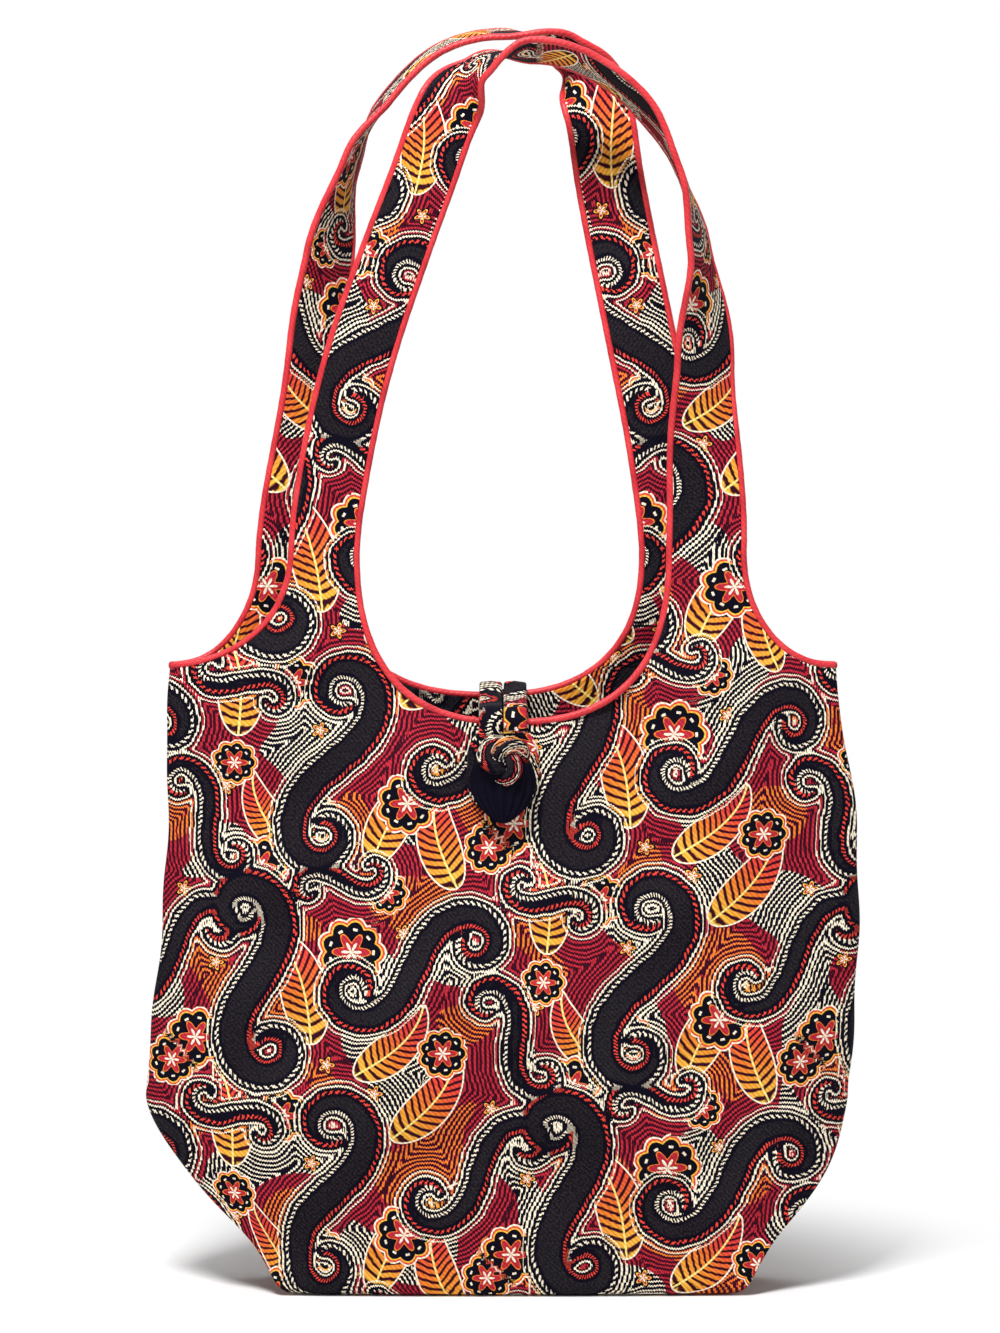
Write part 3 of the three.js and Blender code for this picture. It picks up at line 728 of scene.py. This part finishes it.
def knot_ball():
    """A strip tied on itself: a three-lobed knot drawn tight, its cloth in lengthwise pleats."""
    turn = np.linspace(0, 2 * math.pi, 181)[:-1]
    lobe = KNOT_LOBE * np.cos(3 * turn)
    reach, angle = KNOT_REACH + lobe, 2 * turn + 0.5
    depth = 1.5 * KNOT_LOBE * np.sin(3 * turn)
    line = join(reach * np.cos(angle), KNOT_Y - depth, KNOT_Z + reach * np.sin(angle))

    def section(angle, share, _):
        turn = share * 2 * math.pi
        pleat = 1 + 0.1 * np.sin(5 * angle + 3 * turn) + 0.05 * np.sin(11 * turn + 2 * angle)
        radius = STRIP_RADIUS * pleat
        return 1.08 * radius * np.cos(angle), radius * np.sin(angle), STRIP_WIDTH / 2 * angle / math.pi

    return sweep("knot_ball", line, section, 28, True)


def knot_stem():
    """The gathered neck between the panel and the knot."""
    face = -float(front_depth(0.0, KNOT_Z))
    line = join(0, np.linspace(face - 0.7, KNOT_Y + 5.5, 9), KNOT_Z)

    def section(angle, share, whole):
        waist = STEM_RADIUS + 0.9 * np.abs(share * whole / 6 - 0.6)
        radius = waist * (1 + 0.09 * np.sin(9 * angle))
        return radius * np.cos(angle), radius * np.sin(angle), radius * angle

    return sweep("knot_stem", line, section, 36)


def knot_tail():
    """The strip's gathered end below the knot, spread over the band's eye in a pleated fan."""
    share = np.linspace(0, 1, 34)
    z = mix(KNOT_Z - 2, KNOT_Z - TAIL_LENGTH, share)
    rest = np.array([front_clear(level) for level in z]) - TAIL_REST
    y = mix(KNOT_Y + 1, rest, ease(0, 0.4, share))
    line = join(0, y, z)

    def section(angle, down, _):
        spread = ease(-0.3, 0.3, down)
        point = (1 - np.clip((down - 0.26) / 0.76, 0, 1) ** 2) ** 0.75
        folds = np.abs(np.sin(TAIL_PLEATS / 2 * angle + 0.25 * np.sin(2 * angle)))
        ridge = (folds - 0.6) * mix(0.6, 2.8, down) * point
        wide = mix(12, 16.2, spread) * point + ridge
        deep = mix(4.4, 5.4, spread) * point + ridge
        return wide * np.cos(angle), deep * np.sin(angle), 16 * angle / math.pi

    return sweep("knot_tail", line, section, 136)


def cut_along(piece, middle, heading, share=1):
    """Moves a strip's place in the cloth: it is cut along a heading, its own middle on the given point.

    A small share keeps the whole piece within one plain band of the figure.
    """
    aside, along = (piece.data.attributes[name].data for name in CUT)
    u, v = (share * np.array([p.value for p in data]) for data in (aside, along))
    v -= (v.min() + v.max()) / 2
    c, s = math.cos(math.radians(heading)), math.sin(math.radians(heading))
    aside.foreach_set("value", middle[0] + v * c - u * s)
    along.foreach_set("value", middle[1] + v * s + u * c)
    return piece


def anchor_patch():
    """The band's end on the back panel: a folded strip with turned edges, dished to the cloth."""
    half, top = LEG_SLIT + LEG_WIDTH, BACK_NECK + 4.2

    def place(c, r):
        angle = c * math.pi
        across = filled_out(np.cos(angle), 0.3)
        out = filled_out(np.sin(angle), 0.6)
        z = top - ANCHOR_LENGTH * (1 - r)
        face = front_depth(half * across, np.minimum(z, BACK_NECK)) + 0.5
        puff = ANCHOR_HALF * (1 + out) * (1 - 0.35 * ease(0.88, 1, np.abs(2 * r - 1)))
        return join(-half * across, face + puff, z), join(half * across, z)

    return tube_object("anchor_patch", 24, 22, place)


# The woven figure. One repeat of it, in millimetres across and up the flat cut
REPEAT = np.array([158.0, 216.0])  # neighbouring columns step by half the height

# Scrolls: centre across and up, heading in degrees, half length, turn at each end in radians, half width
SCROLLS = [
    (34, 52, 58, 104, 6.6, 10.5), (114, 60, 66, 92, -6.2, 8.5), (70, 160, 40, 100, 6.0, 9.5),
    (146, 172, 74, 76, -5.6, 7.0), (6, 132, 82, 60, 5.4, 6.0), (76, 102, 150, 40, 4.6, 4.6),
    (24, 200, 15, 42, -4.8, 4.8),
]
# Fronds: foot across and up, heading in degrees, length, bend in radians, half width
FRONDS = [
    (62, 22, 96, 62, 0.9, 11.5), (92, 112, 70, 56, -1.0, 10.5), (22, 176, 84, 52, 0.8, 10),
    (134, 100, 118, 54, -0.9, 10), (104, 190, 38, 56, 0.9, 10), (8, 88, 20, 46, 0.8, 9),
    (86, 6, 30, 50, 0.9, 9.5), (44, 120, 128, 40, -0.8, 8.5), (118, 150, 20, 38, 0.7, 8),
]
# Scalloped medallions: centre across and up, radius
MEDALLIONS = [
    (82, 66, 16), (34, 108, 14), (108, 140, 14.5), (4, 22, 14), (48, 200, 12.5),
    (128, 16, 12), (150, 118, 12), (64, 132, 10.5), (100, 96, 10), (20, 160, 10.5),
]
ROSETTE_RADIUS = 4
ROSETTES = [
    (100, 40), (58, 96), (16, 148), (140, 84), (86, 186), (48, 140), (128, 158), (12, 60), (152, 204),
    (94, 212), (70, 10), (30, 18), (120, 120), (62, 176), (36, 84), (146, 44), (108, 76), (80, 120),
]


def neighbours():
    """Where the repeats beside and above one repeat lie."""
    for column in (-1, 0, 1):
        for row in (-2, -1, 0, 1):
            yield np.array([column, row + (column % 2) / 2]) * REPEAT


def ribbon(start, heading, run, turn):
    """A curve whose bend grows with the square of the run: its points and its headings."""
    headings = math.radians(heading) + turn * (run / run[-1]) ** 2
    steps = join(np.cos(headings), np.sin(headings)) * (run[1] - run[0])
    points = np.cumsum(steps, 0)
    return points - points[np.argmin(np.abs(run))] + start, headings


def scroll_shapes():
    for across, up, heading, half, turn, width in SCROLLS:
        run = np.linspace(-half, half, 151)
        swell = width * (0.35 + 0.65 * np.cos(np.abs(run) / half * math.pi / 2) ** 0.8)
        yield *ribbon((across, up), heading, run, turn), run, swell


def frond_shapes():
    for across, up, heading, length, bend, width in FRONDS:
        run = np.linspace(0, length, 61)
        swell = width * np.sin(math.pi * (run / length) ** 0.7).clip(0) ** 0.8
        yield *ribbon((across, up), heading, run, bend), run / length, swell


def ribbon_field(place, shapes):
    """For each place on the cut: signed distance to the nearest ribbon, run along it, offset across it."""
    field = np.zeros((len(place), 3))
    field[:, 0] = 99
    for points, headings, runs, widths in shapes:
        for shift in neighbours():
            low, high = points.min(0) + shift - 30, points.max(0) + shift + 30
            near = np.flatnonzero(np.all((place > low) & (place < high), 1))
            for point, heading, run, width in zip(points + shift, headings, runs, widths):
                gap = place[near] - point
                distance = np.hypot(*gap.T) - width
                closer = distance < field[near, 0]
                aside = gap[closer] @ np.array([-math.sin(heading), math.cos(heading)])
                where = near[closer]
                field[where] = join(distance[closer], run, aside)
    return field


def spot_field(place, spots):
    """For each place on the cut: offsets from the middle of the nearest spot, and its radius."""
    field = np.full((len(place), 3), 99.0)
    nearest = np.full(len(place), 1e6)
    for across, up, radius in spots:
        for shift in neighbours():
            gap = place - shift - (across, up)
            distance = np.hypot(*gap.T) - radius
            closer = distance < nearest
            nearest[closer] = distance[closer]
            field[closer] = join(*gap[closer].T, radius)
    field[:, :2] *= 1 + 8 * np.clip(nearest - 3, 0, None)[:, None]  # drives false middles between spots away
    return field


def repeat_map(shapes):
    """A ribbon field over one whole repeat, a millimetre apart, as a function of places on it."""
    width, height = REPEAT.astype(int) + 2
    across, up = np.meshgrid(np.arange(width), np.arange(height), indexing="ij")
    field = ribbon_field(join(across.ravel(), up.ravel()).astype(float), list(shapes))
    field = field.reshape(width, height, 3)

    def read(place):
        i, j = np.floor(place).astype(int).T
        s, t = (place - np.floor(place)).T[:, :, None]
        return mix(mix(field[i, j], field[i + 1, j], s), mix(field[i, j + 1], field[i + 1, j + 1], s), t)

    return read


SCROLL_MAP = repeat_map(scroll_shapes())
FROND_MAP = repeat_map(frond_shapes())


def weave_figure(piece):
    """Stores on a piece's points where each lies in the cut and in the figure."""
    data = piece.data.attributes
    cut = join(*([p.value for p in data[name].data] for name in CUT))
    column = np.floor(cut[:, 0] / REPEAT[0])
    place = join(cut[:, 0], cut[:, 1] - column % 2 * REPEAT[1] / 2) % REPEAT
    fields = {
        "cut": join(*cut.T, 0),
        "scroll": SCROLL_MAP(place),
        "frond": FROND_MAP(place),
        "medallion": spot_field(place, MEDALLIONS),
        "rosette": spot_field(place, [(*spot, ROSETTE_RADIUS) for spot in ROSETTES]),
    }
    for name, values in fields.items():
        data.new(name, "FLOAT_VECTOR", "POINT").data.foreach_set("vector", values.ravel())
    return piece


# Materials

NIGHT = "#080614"
INK = "#0A060F"
CHARCOAL = "#131017"
ASH = "#7A7276"
PLUM = "#34091A"
WINE = "#8A1B28"
CRIMSON = "#B32837"
CORAL = "#DE4436"
ORANGE = "#E67F2C"
GOLD = "#F2B845"
STRAW = "#F7DC84"
CREAM = "#F5E7CF"

# Sizes in the cloths, in millimetres
THREAD = 1.3
ECHO_SPACING = 2.2  # of the lines that echo the scrolls
GROUND_PATCH = 44
ROPE_PITCH = 2.4
BARBS = 15  # along a frond
FLECK = 1.1
PAINTED_SHEEN_PATCH = 75
WANDER = 9  # over which the edges of the scrolls wander
SATIN_RIB = 1.5
SATIN_DRIFT = 16
WAVE_UNIT = 2 * math.pi / 20  # scale of a wave texture whose bands lie one unit apart


def new_material(name):
    """A material, the function that adds nodes to it, and its shader."""
    material = bpy.data.materials.new(name)
    material.use_nodes = True
    tree = material.node_tree
    return material, partial(add_node, tree), tree.nodes["Principled BSDF"]


def polar(add, spot):
    """Distance and direction from the middle of the nearest spot, and its radius."""
    part = add("SeparateXYZ", {0: spot}).outputs
    flat = add("VectorMath", {0: spot, 1: (1, 1, 0)}, operation="MULTIPLY")
    reach = add("VectorMath", {0: flat}, operation="LENGTH").outputs["Value"]
    angle = add("Math", {0: part[1], 1: part[0]}, operation="ARCTAN2")
    return reach, angle, part[2]


def wave(add, value, rate, form="SINE"):
    """A wave along a value, at a rate in radians for each unit of it."""
    turn = add("Math", {0: value, 1: rate}, operation="MULTIPLY")
    return add("Math", {0: turn}, operation=form)


def lay_bands(add, below, share, bands):
    """Lays bands of colour over what is below, which shows where a band has no cover."""
    ramp = add("ValToRGB", {"Fac": share}, bands=bands)
    return add("MixRGB", {0: ramp.outputs["Alpha"], 1: below, 2: ramp})


def shaded(add, colour, relief, low, high):
    """A colour made darker in the hollows of a relief and lighter on its crests: painted shade and painted
    highlight.
    """
    shade = add("MapRange", {"Value": relief, "To Min": low, "To Max": high})
    return add("MixRGB", {0: 1.0, 1: colour, 2: shade}, blend_type="MULTIPLY")


def echo_ground(add, cut, scroll):
    """Ground of the figure: fine lines that echo the scrolls, in patches of wine, night and amber."""
    lines = wave(add, scroll, 2 * math.pi / ECHO_SPACING)
    lines = add("MapRange", {"Value": lines, "From Min": -1.0})
    patches = add("TexNoise", {"Vector": cut, "Scale": 1 / GROUND_PATCH, "Detail": 0.0})
    wine = add("ValToRGB", {"Fac": lines}, bands=[(0, PLUM), (0.55, WINE), (0.75, CRIMSON)])
    night = add("ValToRGB", {"Fac": lines}, bands=[(0, NIGHT), (0.78, CREAM)])
    amber = add("ValToRGB", {"Fac": lines}, bands=[(0, PLUM), (0.55, CRIMSON), (0.76, ORANGE)])
    pale = add("Math", {0: patches, 1: 0.58}, operation="GREATER_THAN")
    warm = add("Math", {0: patches, 1: 0.4}, operation="LESS_THAN")
    ground = add("MixRGB", {0: pale, 1: wine, 2: night})
    return add("MixRGB", {0: warm, 1: ground, 2: amber})


def rosette_figure(add, below, spot):
    """Small five-petalled flowers with a cream eye."""
    reach, angle, _ = polar(add, spot)
    petals = wave(add, angle, 5.0, "COSINE")
    edge = add("Math", {0: petals, 1: -1.2, 2: reach}, operation="MULTIPLY_ADD")
    share = add("MapRange", {"Value": edge, "From Max": 8.0})
    return lay_bands(add, below, share, [
        (0, CREAM), (0.13, CRIMSON), (0.28, GOLD), (0.37, NIGHT), (0.5, NIGHT, 0),
    ])


def frond_figure(add, below, frond):
    """Feathery leaves: barbs off a pale rib, gold at the foot and red at the tip, outlined in cream."""
    off, along, aside = add("SeparateXYZ", {0: frond}).outputs
    aside = add("Math", {0: aside}, operation="ABSOLUTE")
    barbs = add("Math", {0: aside, 1: -0.011, 2: along}, operation="MULTIPLY_ADD")
    barbs = wave(add, barbs, 2 * math.pi * BARBS)
    barbs = add("MapRange", {"Value": barbs, "From Min": -0.6, "From Max": 0.1})
    vane = add("ValToRGB", {"Fac": along}, smooth=True, bands=[
        (0.05, GOLD), (0.35, ORANGE), (0.62, CORAL), (0.95, CRIMSON),
    ])
    leaf = add("MixRGB", {0: barbs, 1: linear(PLUM), 2: vane})
    rib = add("Math", {0: aside, 1: 0.5}, operation="LESS_THAN")
    leaf = add("MixRGB", {0: rib, 1: leaf, 2: linear(STRAW)})
    inside = add("Math", {0: off, 1: 0.0}, operation="LESS_THAN")
    leaf = add("MixRGB", {0: inside, 1: linear(CREAM), 2: leaf})
    covers = add("Math", {0: off, 1: 0.8}, operation="LESS_THAN")
    return add("MixRGB", {0: covers, 1: below, 2: leaf})


def medallion_figure(add, below, spot):
    """Dark scalloped rounds edged in cream, red and gold, with a six-petalled flower and a ring of dots."""
    reach, angle, size = polar(add, spot)
    share = add("Math", {0: reach, 1: size}, operation="DIVIDE")
    scallops = add("Math", {0: wave(add, angle, 4.5, "COSINE")}, operation="ABSOLUTE")
    edge = add("Math", {0: scallops, 1: -0.16, 2: share}, operation="MULTIPLY_ADD")
    figure = lay_bands(add, below, edge, [
        (0, NIGHT), (0.775, GOLD), (0.835, CORAL), (0.9, CREAM), (0.965, NIGHT, 0),
    ])
    petals = wave(add, angle, 6.0, "COSINE")
    flower = add("Math", {0: petals, 1: -0.16, 2: share}, operation="MULTIPLY_ADD")
    flower = add("Math", {0: flower, 1: 0.2}, operation="ADD")
    figure = lay_bands(add, figure, flower, [
        (0, CREAM), (0.36, CRIMSON), (0.62, ORANGE), (0.67, NIGHT, 0),
    ])
    ring = add("Math", {0: share, 1: 0.7, 2: 0.04}, operation="COMPARE")
    dots = add("Math", {0: wave(add, angle, 9.0, "COSINE"), 1: ring}, operation="MULTIPLY")
    dots = add("Math", {0: dots, 1: 0.6}, operation="GREATER_THAN")
    return add("MixRGB", {0: dots, 1: figure, 2: linear(CREAM)})


def scroll_figure(add, below, cut, edge, along, aside):
    """Dark curling ribbons: cream outlines, a coral rope inside the edge, charcoal down the middle, left
    only in slow patches of painted sheen and ink elsewhere.
    """
    deepest, farthest = -10.0, 6.0
    share = add("MapRange", {"Value": edge, "From Min": deepest, "From Max": farthest})
    bands = [
        (-10, CHARCOAL), (-4.4, NIGHT), (0.4, CREAM), (1.2, NIGHT), (2.0, NIGHT, 0), (2.9, CREAM),
        (3.5, NIGHT, 0),
    ]
    bands = [((start - deepest) / (farthest - deepest), *rest) for start, *rest in bands]
    figure = lay_bands(add, below, share, bands)
    slant = add("Math", {0: edge, 1: 0.8, 2: along}, operation="MULTIPLY_ADD")
    twist = wave(add, slant, 2 * math.pi / ROPE_PITCH)
    strand = add("Math", {0: edge, 1: -1.9, 2: 0.8}, operation="COMPARE")
    rope = add("Math", {0: twist, 1: strand}, operation="MULTIPLY")
    rope = add("Math", {0: rope, 1: 0.1}, operation="GREATER_THAN")
    one_side = add("Math", {0: aside, 1: 0.0}, operation="GREATER_THAN")
    thread = add("MixRGB", {0: one_side, 1: linear(CORAL), 2: linear(CREAM)})
    figure = add("MixRGB", {0: rope, 1: figure, 2: thread})
    flecks = add("TexNoise", {"Vector": cut, "Scale": 1 / FLECK, "Detail": 1.0})
    flecks = add("MapRange", {"Value": flecks, "From Min": 0.35, "From Max": 0.65, "To Max": 0.08})
    # Down the middle, slow patches stay charcoal as painted sheen and the rest turns to ink.
    middle = add("Math", {0: edge, 1: -4.4}, operation="LESS_THAN")
    depth = add("TexNoise", {"Vector": cut, "Scale": 1 / PAINTED_SHEEN_PATCH, "Detail": 0.0})
    depth = add("MapRange", {"Value": depth, "From Min": 0.36, "From Max": 0.6})
    depth = add("Math", {0: depth, 1: middle}, operation="MULTIPLY")
    figure = add("MixRGB", {0: depth, 1: figure, 2: linear(INK)})
    flecks = add("Math", {0: flecks, 1: middle}, operation="MULTIPLY")
    return add("MixRGB", {0: flecks, 1: figure, 2: linear(ASH)})


def brocade_cloth():
    """Jacquard-woven brocade in rayon and cotton: matt threads with a low shine, figure slightly raised.

    Real threads lie about 0.4 mm apart. They are drawn at 1.3 mm so that they show in a render.
    """
    material, add, shader = new_material("jacquard_brocade")
    cut, scroll, frond, medallion, rosette = (
        add("Attribute", attribute_name=name).outputs["Vector"]
        for name in ("cut", "scroll", "frond", "medallion", "rosette")
    )
    warp, twill = (
        add("TexWave", {"Vector": cut, "Scale": WAVE_UNIT / THREAD}, bands_direction=way).outputs["Fac"]
        for way in ("X", "DIAGONAL")
    )
    off, along, aside = add("SeparateXYZ", {0: scroll}).outputs
    ragged = add("Math", {0: warp, 1: 0.5, 2: off}, operation="MULTIPLY_ADD")
    wander = add("TexNoise", {"Vector": cut, "Scale": 1 / WANDER, "Detail": 1.0})
    wander = add("MapRange", {"Value": wander, "To Min": -1.45, "To Max": 0.95})
    edge = add("Math", {0: ragged, 1: wander}, operation="ADD")
    colour = echo_ground(add, cut, edge)
    colour = rosette_figure(add, colour, rosette)
    colour = frond_figure(add, colour, frond)
    colour = medallion_figure(add, colour, medallion)
    colour = scroll_figure(add, colour, cut, edge, along, aside)
    # painted shade in the twill's hollows and painted highlight on its ribs
    colour = shaded(add, colour, twill, 0.72, 1.12)
    tone = add("RGBToBW", {0: colour})
    shine = add("MapRange", {"Value": tone, "From Max": 0.6, "To Min": 0.72, "To Max": 0.5})
    relief = add("Math", {0: tone, 1: 0.8, 2: twill}, operation="MULTIPLY_ADD")
    bump = add("Bump", {"Height": relief, "Strength": 0.5, "Distance": 0.25 * MM})
    connect(shader, {"Base Color": colour, "Roughness": shine, "Normal": bump, "Specular IOR Level": 0.05})
    return material


def piping_satin():
    """Coral satin cut on the bias over a cord: fine slanting ribs, soft shine along the top."""
    material, add, shader = new_material("bias_satin_piping")
    across, along = (add("Attribute", attribute_name=name).outputs["Fac"] for name in CUT)
    flat = add("CombineXYZ", {0: across, 1: along})
    ribs = add("TexWave", {"Vector": flat, "Scale": WAVE_UNIT / SATIN_RIB}, bands_direction="DIAGONAL")
    ribs = ribs.outputs["Fac"]
    drift = add("TexNoise", {"Vector": flat, "Scale": 1 / SATIN_DRIFT})
    colour = add("ValToRGB", {"Fac": drift}, smooth=True, bands=[
        (0.3, "#B5222B"), (0.5, "#CB2E36"), (0.7, "#D73C40"),
    ])
    # painted shade in the hollows of the bias ribs and painted highlight on their crests
    colour = shaded(add, colour, ribs, 0.84, 1.06)
    bump = add("Bump", {"Height": ribs, "Strength": 0.4, "Distance": 0.2 * MM})
    connect(shader, {"Base Color": colour, "Roughness": 0.42, "Normal": bump, "Specular IOR Level": 0.3})
    return material


# Pieces and what they stand for


def dress(piece, material):
    piece.data.materials.clear()
    piece.data.materials.append(material)
    return piece


brocade, satin = brocade_cloth(), piping_satin()

for half in (FRONT, BACK):
    name, strap = half.name, f"{half.name}_strap"
    fold = [(0, 0, z * MM) for z in BEND]
    cloth = panel_cloth(f"{name}_cloth", half, 0, CLOTH)
    inside = panel_cloth(f"{name}_inside", half, STACK, LINING)
    neck_cord = piping(f"{name}_neck_cord", neck_line(half), True, half.side)
    side_cord = piping(f"{name}_side_cord", side_line(half), False, half.side)
    armholes = [f"{name}_armhole_piping_{hand}" for hand in ("left", "right")]
    for piece, slot, nodes in (
        (cloth, "brocade", [f"{name}_panel", strap]),
        (inside, "lining", [f"{name}_lining", f"{strap}_lining"]),
        (neck_cord, "piping", [f"{name}_neck_piping", f"{strap}_neck_piping"]),
        (side_cord, "piping", [*armholes, f"{strap}_side_piping"]),
    ):
        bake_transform(piece, "bag", strap, *fold)
        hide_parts(*nodes)
    for piece in (cloth, inside):
        dress(weave_figure(piece), brocade)
    for piece in (neck_cord, side_cord):
        dress(piece, satin)

PAINTED_SHADE_SCROLL = ((29, 55), SCROLLS[0][2])  # the band is cut along one edge of a broad dark scroll, so that its ring below the knot reads dark as painted shade
PAINTED_SHADE_SPOT = ((20, 74), 0, 0.04)  # the tail is cut from the dark of that scroll: painted shade under the knot
for piece, body, nodes in (
    (cut_along(closure_band(), *PAINTED_SHADE_SCROLL), "closure_loop", ["closure_loop"]),
    (knot_ball(), "bag", ["knot_button"]),
    (cut_along(knot_tail(), *PAINTED_SHADE_SPOT), "bag", []),
    (knot_stem(), "bag", ["knot_shank"]),
    (anchor_patch(), "bag", ["loop_anchor"]),
):
    dress(weave_figure(piece), brocade)
    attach(piece, body)
    if nodes:
        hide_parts(*nodes)


# Stage, in metres

FLOOR_HALF = 3
SHADOW_REACH = (0.13, 0.32)  # the floor's shade starts to fade and is gone
LIGHT_TARGET = (0, 0, 0.3)
LIGHTS = [  # place, size, watts
    ("key", (-0.35, -1.0, 1.75), 0.45, 44),
    ("fill", (1.0, -1.4, 0.6), 1.4, 3),
    ("top", (0.1, 0.3, 1.9), 1.2, 8),
]
WORLD_LIGHT = 0.2
CAMERA_TARGET = (-0.0015, 0, 0.3155)
CAMERA_DISTANCE = 1.9
CAMERA_ELEVATION = math.radians(2.5)
PICTURE_HEIGHT = 0.674  # seen from top to bottom at the target
SENSOR = 36  # millimetres


def floor_paper():
    """Matt white studio paper: takes the shadow near the object and runs out to plain white."""
    material, add, shader = new_material("studio_paper")
    connect(shader, {"Base Color": linear("#F6F6F6"), "Roughness": 0.9, "Specular IOR Level": 0.1})
    place = add("TexCoord").outputs["Object"]
    away = add("VectorMath", {0: place}, operation="LENGTH").outputs["Value"]
    far = add("MapRange", {
        "Value": away, "From Min": SHADOW_REACH[0], "From Max": SHADOW_REACH[1],
    }, interpolation_type="SMOOTHSTEP")
    white = add("Emission", {"Color": (1, 1, 1, 1), "Strength": 1.0})
    seen = add("LightPath").outputs["Is Camera Ray"]
    share = add("Math", {0: far, 1: seen}, operation="MULTIPLY")
    both = add("MixShader", {0: share, 1: shader, 2: white})
    connect(material.node_tree.nodes["Material Output"], {"Surface": both})
    return material


def stage_and_light():
    scene = bpy.context.scene
    scene.view_settings.view_transform = "Standard"
    bm = bmesh.new()
    bmesh.ops.create_grid(bm, x_segments=1, y_segments=1, size=FLOOR_HALF)
    floor = dress(new_object("floor", bm), floor_paper())
    for name, place, size, power in LIGHTS:
        lamp = bpy.data.lights.new(name, "AREA")
        lamp.size = size
        lamp.energy = power
        spot = bpy.data.objects.new(name, lamp)
        spot.location = place
        aim = Vector(LIGHT_TARGET) - Vector(place)
        spot.rotation_euler = aim.to_track_quat("-Z", "Y").to_euler()
        bpy.context.collection.objects.link(spot)
    world = bpy.data.worlds.new("studio")
    scene.world = world
    world.use_nodes = True
    world.node_tree.nodes.clear()
    add = partial(add_node, world.node_tree)
    rays = add("LightPath").outputs
    seen = add("Math", {0: rays["Is Camera Ray"], 1: rays["Is Glossy Ray"]}, operation="MAXIMUM")
    seen = add("Math", {0: seen, 1: rays["Is Transmission Ray"]}, operation="MAXIMUM")
    strength = add("MapRange", {"Value": seen, "To Min": WORLD_LIGHT, "To Max": 1.0})
    glow = add("Background", {"Color": (1, 1, 1, 1), "Strength": strength})
    add("OutputWorld", {"Surface": glow})


def camera():
    """In front, a little above the middle, framed as in the photograph."""
    target = Vector(CAMERA_TARGET)
    away = Vector((0, -math.cos(CAMERA_ELEVATION), math.sin(CAMERA_ELEVATION)))
    lens = bpy.data.cameras.new("camera")
    lens.sensor_fit = "VERTICAL"
    lens.sensor_height = SENSOR
    lens.lens = SENSOR * CAMERA_DISTANCE / PICTURE_HEIGHT
    eye = bpy.data.objects.new("camera", lens)
    eye.location = target + CAMERA_DISTANCE * away
    eye.rotation_euler = (target - eye.location).to_track_quat("-Z", "Y").to_euler()
    bpy.context.collection.objects.link(eye)
    bpy.context.scene.camera = eye


stage_and_light()
camera()
